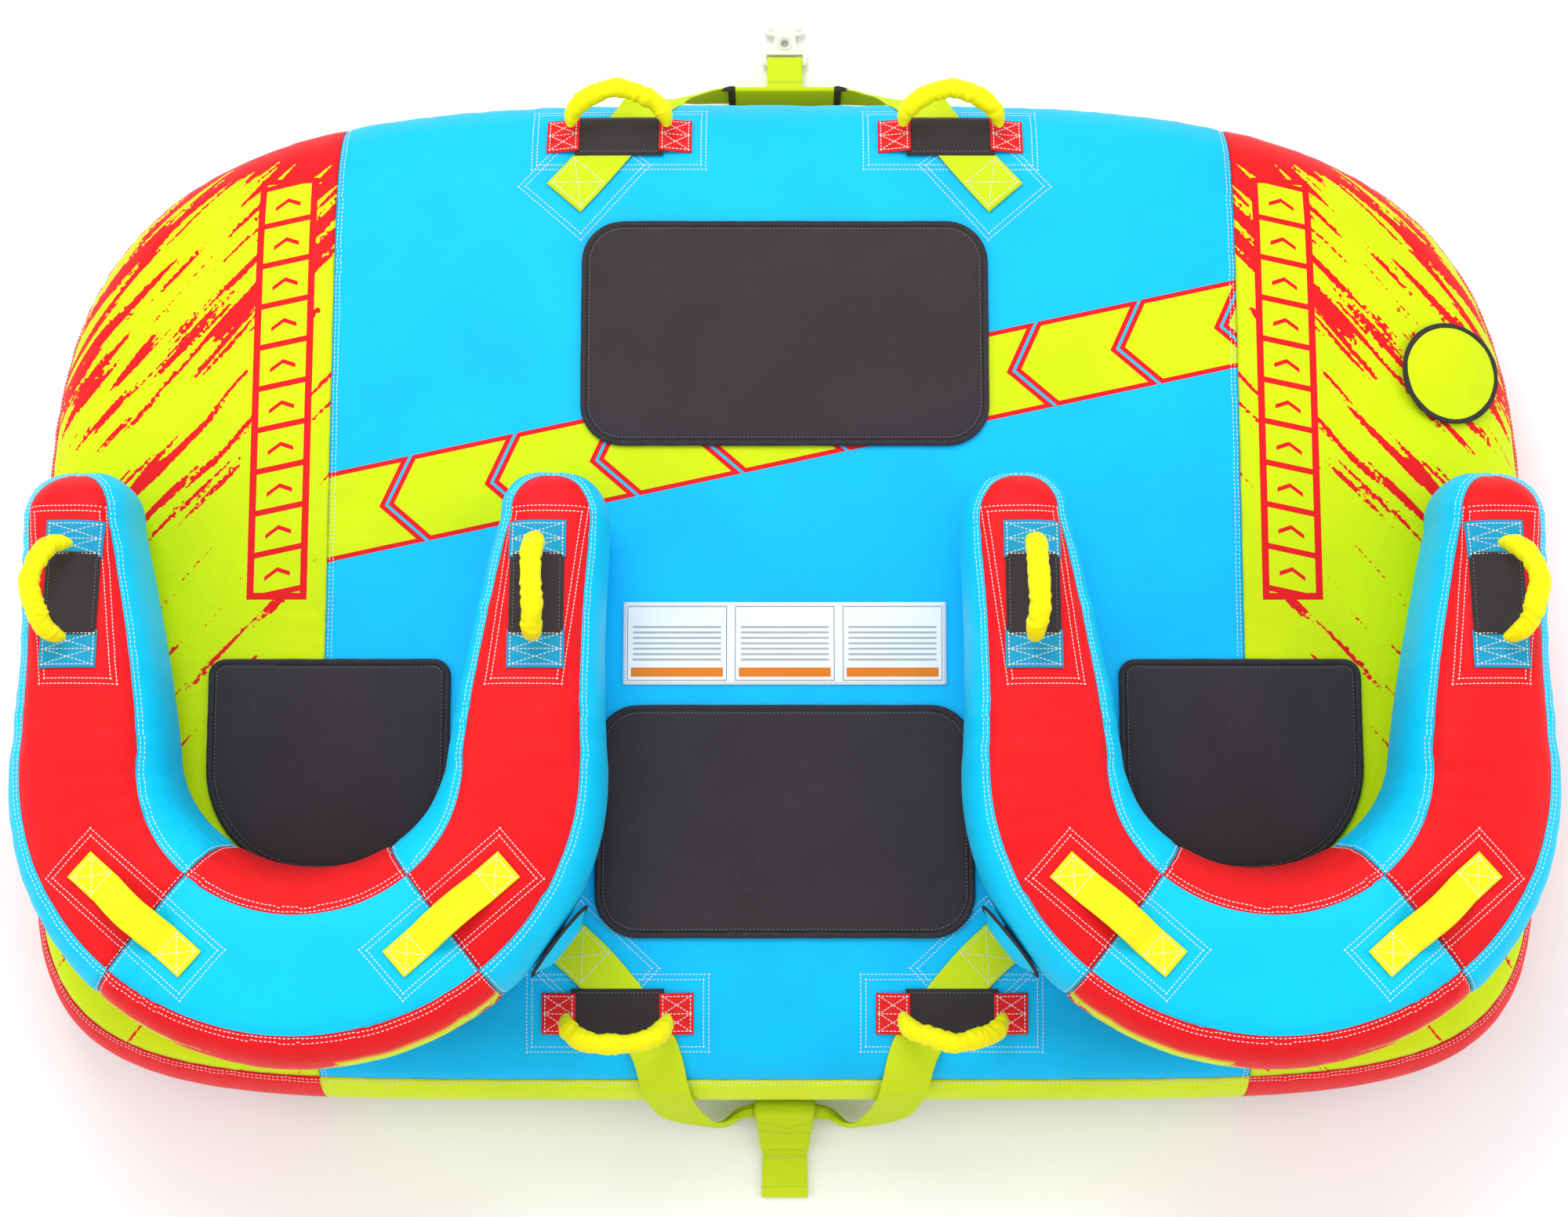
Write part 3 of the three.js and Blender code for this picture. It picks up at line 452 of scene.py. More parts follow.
def end_print(finish, u, v):
    """Red brush strokes over lime, thick at the front and thin at the rear, beside a column
    of slanted blocks."""
    out = abs(u)
    slant = math.radians(48)
    along = v * math.sin(slant) - out * math.cos(slant)
    across = out * math.sin(slant) + v * math.cos(slant)
    bent = across + 0.012 * finish.noise(finish.vector(across * 4.0, along * 4.0), 1.0, 0.0)
    broad = finish.noise(finish.vector(bent * 34.0, along * 2.6), 1.0, 1.5)
    narrow = finish.noise(finish.vector(bent * 96.0, along * 6.5, 4.0), 1.0, 1.0)
    torn = finish.noise(finish.vector(u, v), 130.0, 3.0)
    stroke = broad * 0.66 + narrow * 0.34 + (torn - 0.5) * 0.13
    front = finish.rise(v, -0.15, 0.66)
    corner = finish.rise(v, 0.56, 0.72)
    limit = 0.615 - 0.115 * front - 0.16 * corner
    ink = finish.rise(stroke - limit, -0.004, 0.004)
    middle, half_width, pitch = 0.792, 0.036, 0.0665
    sideways = out - middle
    low_end, high_end = -0.04, 0.625
    slip = (v - low_end + 0.22 * sideways) / pitch
    cell = (slip.maths("FRACT") - 0.5) * pitch
    in_height = finish.rise(v, low_end, low_end + 0.0005) * (1 - finish.rise(v, high_end, high_end + 0.0005))
    edge = (half_width - abs(sideways)).maths("MINIMUM", 0.0285 - abs(cell))
    notch = abs(cell + abs(sideways) * 0.55 - 0.004) - 0.0035
    notch = notch.maths("MAXIMUM", abs(sideways) - 0.02)
    block = finish.rise(edge.maths("MINIMUM", notch), -0.0003, 0.0003) * in_height
    border = finish.rise(half_width + 0.011 - abs(sideways), -0.0003, 0.0003)
    above = finish.rise(v, low_end - 0.011, low_end - 0.0105)
    column = above * (1 - finish.rise(v, high_end + 0.01, high_end + 0.0105))
    covered = ink.maths("MAXIMUM", border * column)
    return finish.mix(finish.mix(lime, red, covered), lime, block)


def plain(colour):
    return lambda finish, u, v: colour


def middle_panel(step=0.0088):
    """Columns across the panel, each from the rear seam over the top to the front seam."""
    columns = round(2 * panel_seam_x / step)
    rows = 196
    ease = (1 - np.cos(np.linspace(0, math.pi, 900))) / 2
    places, flat = [], []
    for x in np.linspace(-panel_seam_x, panel_seam_x, columns):
        rear, front = seam_y(x, False), seam_y(x, True)
        y = rear + (front - rear) * ease
        path = np.stack([0 * y + x, y, deck_top(x, y)], -1)
        run = run_lengths(path)
        middle = np.interp(deck_middle_y, y, run)
        even = respaced(path, rows)
        places.append(even)
        flat.append(np.stack([even[:, 0], np.linspace(0, run[-1], rows) - middle + deck_middle_y], -1))
    return np.array(places), np.array(flat)


def end_panel(side, step=0.0088):
    """Rays from the middle of the panel seam out to the seam round the deck's end."""
    keep = side * top_seam[:, 0] >= panel_seam_x
    turns = np.where(fine_turns < 0, fine_turns + 2 * math.pi, fine_turns) if side < 0 else fine_turns
    order = np.argsort(turns[keep])
    rim = top_seam[keep][order]
    rim = respaced(rim, round(run_lengths(rim)[-1] / step))
    rim[[0, -1], 0] = side * panel_seam_x
    rows = 92
    ease = np.sin(np.linspace(0, math.pi / 2, 600))
    start = np.array([side * panel_seam_x, deck_middle_y])
    places, flat = [], []
    for end in rim:
        plan = start + (end[:2] - start) * ease[:, None]
        path = np.column_stack([plan, deck_top(plan[:, 0], plan[:, 1])])
        total = run_lengths(path)[-1]
        way = (end[:2] - start) / np.linalg.norm(end[:2] - start)
        places.append(respaced(path, rows))
        flat.append(start + way * np.linspace(0, total, rows)[:, None])
    return np.array(places), np.array(flat)


def band_strip(start, end, lowest=seam_level_low, rows=26, step=0.0095):
    """The side wall between two places on the outline, given as x there and front or rear."""
    def turn_of(x, front, reach):
        power = front_power if front else rear_power
        turn = math.acos(min(1, abs(x) / reach / deck_half_width) ** (power / 2))
        turn = turn if x >= 0 else math.pi - turn
        return turn if front else -turn
    length = abs(outline_run(turn_of(*end, 1.0)) - outline_run(turn_of(*start, 1.0))) % outline_total
    columns = round(length / step)
    places, flat = [], []
    for share in np.linspace(0, 1, rows):
        level = lambda turn: top_seam_level(turn) * (1 - share) + lowest * share
        edges = []
        for x, front in (start, end):
            turn = turn_of(x, front, 1.0)
            for _ in range(4):
                turn = turn_of(x, front, (1 - float(level(np.array(turn))) ** 2) ** (1 / deck_edge_power))
            edges.append(outline_run(turn))
        if edges[1] < edges[0]:
            edges[1] += outline_total
        turns = outline_turn(np.linspace(edges[0], edges[1], columns))
        row = skin_point(turns, level(turns))
        places.append(row)
        flat.append(np.stack([run_lengths(row), 0 * turns + share * 0.19], -1))
    return np.array(places), np.array(flat)


plan_outline = np.stack(outline_way(fine_turns)[:2], -1)
plan_runs = run_lengths(plan_outline)
outline_total = plan_runs[-1]


def outline_run(turn):
    return float(np.interp(turn, fine_turns, plan_runs))


def outline_turn(run):
    return np.interp(np.mod(run, outline_total), plan_runs, fine_turns)


def base_sheet(step=0.016):
    """The base from the lower seam in, with a slot along the zipper."""
    turns = outline_turn(np.linspace(0, outline_total, round(outline_total / step)))
    x = outline_way(turns)[0]
    levels = np.linspace(seam_level_low, -deck_rise / deck_drop, 12)
    curve = [skin_point(turns, np.full_like(turns, level)) for level in levels]
    flat_ring = curve[-1]
    slot_x, slot_y = zipper_half + 0.004, zipper_opening / 2
    inner = np.stack([
        np.clip(flat_ring[:, 0], -slot_x, slot_x),
        zipper_y + slot_y * np.clip((flat_ring[:, 1] - zipper_y) / 0.05, -1, 1),
        0 * x,
    ], -1)
    shares = np.linspace(0, 1, 60)[1:]
    rows = curve + [flat_ring * (1 - s) + inner * s for s in shares]
    rows.append(inner + np.array([0, 0, 0.004]))
    places = np.array(rows)
    return places, places[..., :2].copy()


zipper_y, zipper_half, zipper_opening = -0.618, 0.55, 0.024

side_seams = [
    np.stack([np.full(400, x), y, deck_top(x, y)], -1)
    for x in (-panel_seam_x, panel_seam_x)
    for y in [np.linspace(seam_y(x, False), seam_y(x, True), 400)]
]
side_seams = [respaced(seam, 320) for seam in side_seams]
rim_seam = respaced(top_seam, 1400)
low_turns = outline_turn(np.linspace(0, outline_total, 1400))
low_seam = skin_point(low_turns, np.full_like(low_turns, seam_level_low))

middle_places, middle_flat = middle_panel()
blue_nylon = cover_finish("blue_nylon", middle_print)
deck_middle = cloth_piece("deck_middle_panel", middle_places, middle_flat, blue_nylon, (0, 0, 1))
draw_in(deck_middle, [*side_seams, rim_seam], 11)
end_finish = cover_finish("printed_nylon", end_print)
deck_ends = {}
for end_name, end_side in (("left", -1), ("right", 1)):
    end_places, end_flat = end_panel(end_side)
    deck_ends[end_name] = cloth_piece(f"deck_{end_name}_panel", end_places, end_flat, end_finish, (0, 0, 1))
    draw_in(deck_ends[end_name], [*side_seams, rim_seam], 21 + end_side)
lime_nylon = cover_finish("lime_nylon", plain(lime))
red_nylon = cover_finish("red_nylon", plain(red))
deck_bands = {}
for band_name, start, end, band_finish in (
    ("front", (panel_seam_x, True), (-panel_seam_x, True), lime_nylon),
    ("left", (-panel_seam_x, True), (-panel_seam_x, False), red_nylon),
    ("rear", (-panel_seam_x, False), (panel_seam_x, False), lime_nylon),
    ("right", (panel_seam_x, False), (panel_seam_x, True), red_nylon),
):
    band_places, band_flat = band_strip(start, end)
    deck_bands[band_name] = cloth_piece(f"deck_{band_name}_band", band_places, band_flat, band_finish)
    draw_in(deck_bands[band_name], [rim_seam, low_seam], 31)
base_places, base_flat = base_sheet()
dark_nylon = cover_finish("dark_base_nylon", plain(dye(30, 32, 38)), 0.55)
deck_base = cloth_piece("deck_base", base_places, base_flat, dark_nylon, (0, 0, -1))
draw_in(deck_base, [low_seam], 41, slack=0.0)

# ---- Deck seams ---------------------------------------------------------------------------
# Two rows of white bonded-nylon lockstitch hold the felled seams: beside each panel seam, over
# the band all round, and round the base.

def socketed_tree(name, inputs):
    """An empty geometry tree with these named inputs, and a way to add a node to it."""
    tree = bpy.data.node_groups.new(name, "GeometryNodeTree")
    tree.interface.new_socket("Geometry", in_out="INPUT", socket_type="NodeSocketGeometry")
    for label, kind in inputs.items():
        tree.interface.new_socket(label, in_out="INPUT", socket_type=kind)
    tree.interface.new_socket("Geometry", in_out="OUTPUT", socket_type="NodeSocketGeometry")

    def add(kind, sockets=None, **settings):
        node = tree.nodes.new(kind)
        for key, value in settings.items():
            setattr(node, key, value)
        for key, value in (sockets or {}).items():
            if isinstance(value, bpy.types.NodeSocket):
                tree.links.new(value, node.inputs[key])
            else:
                node.inputs[key].default_value = value
        return node
    return tree, add


def small_shape_tree(name, shape, shape_sockets):
    """Sets one small shape on every point, along its run and standing on its up."""
    number = "NodeSocketFloat"
    inputs = {"Length": number, "Width": number, "Height": number, "Material": "NodeSocketMaterial"}
    tree, add = socketed_tree(name, inputs)
    given = add("NodeGroupInput").outputs
    size = add("ShaderNodeCombineXYZ", {0: given["Length"], 1: given["Width"], 2: given["Height"]})
    solid = add(shape, shape_sockets)
    sized = add("GeometryNodeTransform", {"Geometry": solid.outputs[0], "Scale": size.outputs[0]})
    along = add("GeometryNodeInputNamedAttribute", {"Name": "run"}, data_type="FLOAT_VECTOR")
    up = add("GeometryNodeInputNamedAttribute", {"Name": "up"}, data_type="FLOAT_VECTOR")
    axes = {"Primary Axis": along.outputs[0], "Secondary Axis": up.outputs[0]}
    turn = add("FunctionNodeAxesToRotation", axes, primary_axis="X", secondary_axis="Z")
    spots = {"Points": given["Geometry"], "Instance": sized.outputs[0], "Rotation": turn.outputs[0]}
    placed = add("GeometryNodeInstanceOnPoints", spots)
    real = add("GeometryNodeRealizeInstances", {"Geometry": placed.outputs[0]})
    smooth = add("GeometryNodeSetShadeSmooth", {"Geometry": real.outputs[0]})
    dressed = add("GeometryNodeSetMaterial", {"Geometry": smooth.outputs[0], "Material": given["Material"]})
    add("NodeGroupOutput", {"Geometry": dressed.outputs[0]})
    return tree


stitch_tree = small_shape_tree("stitch_row", "GeometryNodeMeshIcoSphere", {"Radius": 0.5, "Subdivisions": 1})


def set_along(name, tree, rows, size, material, body, slot, *nodes):
    """One piece of many small shapes, from rows of places with their runs and ups."""
    places, runs, ups = (np.concatenate([row[k] for row in rows]) for k in range(3))
    mesh = bpy.data.meshes.new(name)
    mesh.from_pydata(places.tolist(), [], [])
    for label, values in (("run", runs), ("up", ups)):
        layer = mesh.attributes.new(label, "FLOAT_VECTOR", "POINT")
        layer.data.foreach_set("vector", values.astype(np.float32).ravel())
    piece = bpy.data.objects.new(name, mesh)
    bpy.context.scene.collection.objects.link(piece)
    maker = piece.modifiers.new("maker", "NODES")
    maker.node_group = tree
    given = {item.name: item.identifier for item in tree.interface.items_tree if item.in_out == "INPUT"}
    for label, value in zip(("Length", "Width", "Height", "Material"), (*size, material)):
        maker[given[label]] = value
    settle(piece)
    fit(piece, body, slot, *nodes)
    return piece


def skin_of(*pieces):
    """The surface of some sheets, to lay things on."""
    places, faces, count = [], [], 0
    for piece in pieces:
        own = points_of(piece)
        places.extend(own.tolist())
        faces.extend([[k + count for k in face.vertices] for face in piece.data.polygons])
        count += len(own)
    return BVHTree.FromPolygons(places, faces)


def unit(vectors):
    """The same ways, each one long."""
    return vectors / np.maximum(np.linalg.norm(vectors, axis=-1, keepdims=True), 1e-9)


def nearest(skin, places):
    """The closest places on a skin, and its outward directions there."""
    found = [skin.find_nearest(Vector(place)) for place in places]
    return np.array([f[0] for f in found]), np.array([f[1] for f in found])


def seam_row(path, skin, offset=0.0, pitch=0.0066, lift=0.00035):
    """A row of stitches along a path on a skin, moved sideways to the left of its run."""
    marks = respaced(path, max(3, round(run_lengths(path)[-1] / pitch) + 1))
    places, ups = nearest(skin, marks)
    runs = unit(np.gradient(places, axis=0))
    places, ups = nearest(skin, places + np.cross(ups, runs) * offset)
    runs = unit(np.gradient(places, axis=0))
    keep = np.linalg.norm(places - marks, axis=1) < abs(offset) + 0.02
    return places[keep] + ups[keep] * lift, runs[keep], ups[keep]


def thread_finish(name, colour):
    finish = Finish(name, Roughness=0.55)
    twist = finish.noise(finish.place(), 900.0)
    worn = finish.mix(colour, (0.55, 0.56, 0.56, 1.0), 0.3 * twist)
    return finish.show(Base_Color=worn, Normal=finish.bump(twist, 0.0003))


def sew_white(name, rows, slot="label_fabric"):
    """White stitches, a piece that rides on the cover."""
    set_along(name, stitch_tree, rows, stitch_size, white, "tube", slot)


stitch_size = (0.0052, 0.0017, 0.0011)
white = thread_finish("white_thread", white_thread)
deck_skin = skin_of(deck_middle, *deck_ends.values())
side_skin = skin_of(*deck_bands.values(), deck_middle, *deck_ends.values(), deck_base)
for seam, side_name, inward in zip(side_seams, ("left", "right"), (-1, 1)):
    rows = [seam_row(seam, deck_skin, inward * gap) for gap in (0.0045, 0.0105)]
    sew_white(f"deck_{side_name}_panel_stitches", rows)
rim_rows = [seam_row(rim_seam, side_skin, gap) for gap in (-0.005, -0.011)]
base_rows = [seam_row(low_seam, side_skin, gap) for gap in (-0.005, 0.005)]
sew_white("deck_rim_stitches", rim_rows)
sew_white("deck_base_stitches", base_rows)
cover_thickness = 0.0012
for side_name, panel in deck_ends.items():
    thicken(panel, cover_thickness)
    fit(panel, "tube", "printed_fabric", f"deck_top_{side_name}")
for place, panel in deck_bands.items():
    thicken(panel, cover_thickness)
    fit(panel, "tube", "lime_fabric" if place in ("front", "rear") else "red_fabric", f"deck_band_{place}")
thicken(deck_middle, cover_thickness)
fit(deck_middle, "tube", "deck_fabric", "deck_top_center")
thicken(deck_base, cover_thickness)
fit(deck_base, "tube", "underside_fabric", "deck_bottom")


# ---- Zipper -------------------------------------------------------------------------------
# A coil zipper under the rear of the deck lets the bladder in. Its tapes are sewn behind the
# slot in the base, and one slider closes it.

def woven_tape_finish(name, colour, pitch=0.0012):
    finish = Finish(name, Roughness=0.8)
    finish.shader.inputs["Specular IOR Level"].default_value = 0.16
    u, v = finish.cloth()
    turn = 2 * math.pi / pitch
    ribs = (u * turn).maths("SINE") * (v * turn).maths("SINE")
    worn = finish.mix(colour, (0.5, 0.5, 0.5, 1.0), 0.06 * finish.noise(finish.vector(u, v), 90.0))
    return finish.show(Base_Color=worn, Normal=finish.bump(ribs, 0.0003, 0.5))


def grid_flat(first, second):
    """A grid of flat places from two runs."""
    return np.stack(np.meshgrid(first, second, indexing="ij"), -1)


charcoal = dye(52, 48, 52)
zip_tape = woven_tape_finish("zip_tape", charcoal)
tape_flat = grid_flat(np.linspace(-zipper_half, zipper_half, 220), np.linspace(-0.0168, 0.0168, 9))
tape_z = 0.0068 - 0.0006 * np.cos(tape_flat[..., 1] / 0.0168 * math.pi)
tape_places = np.concatenate([tape_flat + [0, zipper_y], tape_z[..., None]], -1)
zip_piece = cloth_piece("zipper_tape", tape_places, tape_flat, zip_tape, (0, 0, -1))
thicken(zip_piece, 0.0009)
fit(zip_piece, "tube", "zipper", "deck_zipper")

tooth_tree = small_shape_tree("zipper_teeth", "GeometryNodeMeshCube", {})
tooth_run = np.arange(-zipper_half + 0.006, zipper_half - 0.006, 0.0032)
tooth_ways = [np.tile(way, (len(tooth_run), 1)) for way in ([1.0, 0.0, 0.0], [0.0, 0.0, -1.0])]
tooth_rows = []
for half_pitch, lean in ((0.0, 0.0011), (0.0016, -0.0011)):
    spots = [tooth_run + half_pitch, 0 * tooth_run + zipper_y + lean, 0 * tooth_run + 0.0054]
    tooth_rows.append((np.stack(spots, -1), *tooth_ways))
tooth_finish = Finish("zip_teeth", Roughness=0.35)
tooth_grain = tooth_finish.noise(tooth_finish.place(), 400.0)
tooth_finish.show(Base_Color=tooth_finish.mix(dye(30, 30, 32), dye(60, 60, 62), tooth_grain))
tooth_size = (0.0015, 0.0046, 0.0016)
set_along("zipper_coil", tooth_tree, tooth_rows, tooth_size, tooth_finish.material, "tube", "zipper")


def moulded_finish(name, colour, roughness=0.38, grain=0.00025, **fixed):
    finish = Finish(name, **fixed)
    fine = finish.noise(finish.place(), 420.0, 3.0)
    wide = finish.noise(finish.place(), 18.0)
    tone = finish.mix(colour, finish.mix(colour, (1.0, 1.0, 1.0, 1.0), 0.12), wide)
    relief = finish.bump(fine, grain, 0.4)
    return finish.show(Base_Color=tone, Roughness=roughness + 0.15 * fine, Normal=relief)


def plate_from(name, loops, low, high, bevel, finish):
    """A plate with a rounded edge from flat outlines. Loops after the first are holes."""
    curve = bpy.data.curves.new(name, "CURVE")
    curve.dimensions = "2D"
    curve.fill_mode = "BOTH"
    curve.extrude = (high - low) / 2 - bevel
    curve.bevel_depth = bevel
    curve.bevel_resolution = 3
    for loop in loops:
        line = curve.splines.new("POLY")
        line.points.add(len(loop) - 1)
        for spot, (x, y) in zip(line.points, loop):
            spot.co = (x, y, 0, 1)
        line.use_cyclic_u = True
    drawn = bpy.data.objects.new(name + "_outline", curve)
    bpy.context.scene.collection.objects.link(drawn)
    graph = bpy.context.evaluated_depsgraph_get()
    mesh = bpy.data.meshes.new_from_object(drawn.evaluated_get(graph))
    bpy.data.objects.remove(drawn)
    mesh.name = name
    piece = bpy.data.objects.new(name, mesh)
    bpy.context.scene.collection.objects.link(piece)
    body = bmesh.new()
    body.from_mesh(mesh)
    bmesh.ops.remove_doubles(body, verts=body.verts, dist=1e-6)
    bmesh.ops.recalc_face_normals(body, faces=body.faces)
    for vert in body.verts:
        vert.co.z += (high + low) / 2
    body.to_mesh(mesh)
    body.free()
    mesh.materials.clear()
    mesh.materials.append(finish)
    mesh.shade_smooth()
    mesh.set_sharp_from_angle(angle=math.radians(40))
    return piece


def arc(centre, radius, start, end, count=9):
    """Points round part of a circle, with the angles in degrees."""
    turns = np.radians(np.linspace(start, end, count))
    return [(centre[0] + radius * math.cos(t), centre[1] + radius * math.sin(t)) for t in turns]


def rounded_loop(corners, radii):
    """A closed outline with each corner rounded by its own radius, run anticlockwise."""
    corners = np.array(corners, float)
    outline = []
    for k, radius in enumerate(radii):
        here = corners[k]
        back = unit(corners[k - 1] - here)
        ahead = unit(corners[(k + 1) % len(corners)] - here)
        half = math.acos(np.clip(np.dot(back, ahead), -1, 1)) / 2
        reach = radius / math.tan(half)
        first, last = here + back * reach, here + ahead * reach
        for share in np.linspace(0, 1, 7):
            bend = (1 - share) ** 2 * first + 2 * share * (1 - share) * here + share ** 2 * last
            outline.append(tuple(bend))
    return outline


slider_x = -0.526
slider_corners = [(-0.014, -0.008), (0.008, -0.0065), (0.014, 0.0), (0.008, 0.0065), (-0.014, 0.008)]
slider_outline = rounded_loop([(slider_x + x, zipper_y + y) for x, y in slider_corners], [0.003] * 5)
pull_corners = [(0.006, -0.003), (0.052, -0.004), (0.052, 0.004), (0.006, 0.003)]
pull_radii = [0.002, 0.003, 0.003, 0.002]
pull_outline = rounded_loop([(slider_x + x, zipper_y + y) for x, y in pull_corners], pull_radii)
pull_eye = arc((slider_x + 0.044, zipper_y), 0.0018, 0, 330)
dark_metal = moulded_finish("dark_slider_metal", dye(58, 58, 60), 0.3, Metallic=0.8)
slider = plate_from("zipper_slider_body", [slider_outline], 0.0014, 0.0046, 0.0008, dark_metal)
pull = plate_from("zipper_slider_pull", [pull_outline, pull_eye], 0.0006, 0.0022, 0.0004, dark_metal)
fit(slider, "zipper_slider", "zipper", "zipper_slider")
fit(pull, "zipper_slider", "zipper")


# ---- Air bladders -------------------------------------------------------------------------
# Heavy welded vinyl bladders hold the air inside the covers. Little of them shows but the
# neck at each valve.

vinyl = moulded_finish("bladder_vinyl", dye(42, 42, 46), 0.3, 0.0006)
for bladder_name in ("deck_bladder", "cockpit_left_bladder", "cockpit_right_bladder"):
    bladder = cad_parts[bladder_name]
    bladder.data.materials.clear()
    bladder.data.materials.append(vinyl)


# ---- Pads and label -----------------------------------------------------------------------
# Four neoprene pads lie where riders kneel and sit. Each is foam between two knit faces, its
# edge wrapped in binding tape and sewn to the deck; air swells the middle.

pad_rest = 0.2903
pad_voxel = 0.006


def puff(piece, pressure, cap, frames=20):
    """Swells a piece by cloth simulation, no point moving further than the cap."""
    start = points_of(piece)
    air = piece.modifiers.new("air", "CLOTH")
    air.settings.use_pressure = True
    air.settings.uniform_pressure_force = pressure
    air.settings.effector_weights.gravity = 0
    air.point_cache.frame_start = 1
    air.point_cache.frame_end = frames
    for number in range(1, frames + 1):
        bpy.context.scene.frame_set(number)
    graph = bpy.context.evaluated_depsgraph_get()
    swollen = bpy.data.meshes.new_from_object(piece.evaluated_get(graph))
    moved = np.array([v.co for v in swollen.vertices]) - start
    bpy.data.meshes.remove(swollen)
    piece.modifiers.clear()
    bpy.context.scene.frame_set(1)
    size = np.linalg.norm(moved, axis=1, keepdims=True)
    set_points(piece, start + moved * np.minimum(1, cap / np.maximum(size, 1e-9)))


def neoprene_finish(name, colour):
    finish = Finish(name, Sheen_Weight=0.08, Sheen_Roughness=0.6)
    finish.shader.inputs["Specular IOR Level"].default_value = 0.16
    place = finish.place()
    knit = finish.noise(place, 620.0, 3.0)
    wide = finish.noise(place, 9.0, 3.0)
    lint = finish.rise(finish.noise(place, 240.0, 4.0), 0.62, 0.8)
    tone = finish.mix(colour, finish.mix(colour, (0.5, 0.45, 0.5, 1.0), 0.03), wide)
    speckled = finish.mix(tone, (0.34, 0.3, 0.32, 1.0), 0.1 * lint)
    relief = finish.bump(knit, 0.0007, 0.5, under=finish.bump(wide, 0.003, 0.35))
    return finish.show(Base_Color=speckled, Roughness=0.8 + 0.15 * knit, Normal=relief)


def swept(name, path, across, ups, profile, finish, closed=False, scale=None):
    """A solid drawn along a path from a flat profile of (across, up) places. Open ends are
    closed on their middle."""
    path, across, ups = np.asarray(path, float), np.asarray(across, float), np.asarray(ups, float)
    scale = np.ones((len(path), 2)) if scale is None else scale
    ring = np.concatenate([profile, profile[:1]])
    places = (path[:, None]
              + across[:, None] * (ring[None, :, :1] * scale[:, None, :1])
              + ups[:, None] * (ring[None, :, 1:] * scale[:, None, 1:]))
    girth = run_lengths(ring)
    run = run_lengths(path)
    flat = np.stack(np.broadcast_arrays(girth[None, :], run[:, None]), -1)
    if closed:
        places = np.concatenate([places, places[:1]])
        last = run[-1] + np.linalg.norm(path[0] - path[-1])
        flat = np.concatenate([flat, np.stack([girth, 0 * girth + last], -1)[None]])
    else:
        places = np.concatenate([0 * places[:1] + path[0], places, 0 * places[:1] + path[-1]])
        flat = np.concatenate([flat[:1], flat, flat[-1:]])
    return cloth_piece(name, places, flat, finish)


def strap_profile(width, thickness, count=9):
    """A flat strap's section, with rounded edges."""
    half, round_off = width / 2 - thickness / 2, thickness / 2
    flat = np.linspace(-half, half, count)
    turn = np.linspace(-math.pi / 2, math.pi / 2, 5)[1:-1]
    right = [(half + round_off * math.cos(t), round_off * math.sin(t)) for t in turn]
    left = [(-half - round_off * math.cos(t), -round_off * math.sin(t)) for t in turn]
    low = [(x, -round_off) for x in flat]
    high = [(x, round_off) for x in flat[::-1]]
    return np.array(low + right + high + left)


def pad_outline(half, radii, grow=0.0):
    """The pad's outline about its own middle; radii are its rear and front corners."""
    w, d = half[0] + grow, half[1] + grow
    rear, front = radii[0] + grow, radii[1] + grow
    right = arc((w - rear, -d + rear), rear, -90, 0, 13) + arc((w - front, d - front), front, 0, 90, 9)
    left = arc((-w + front, d - front), front, 90, 180, 9) + arc((-w + rear, -d + rear), rear, 180, 270, 13)
    return np.array(right + left)


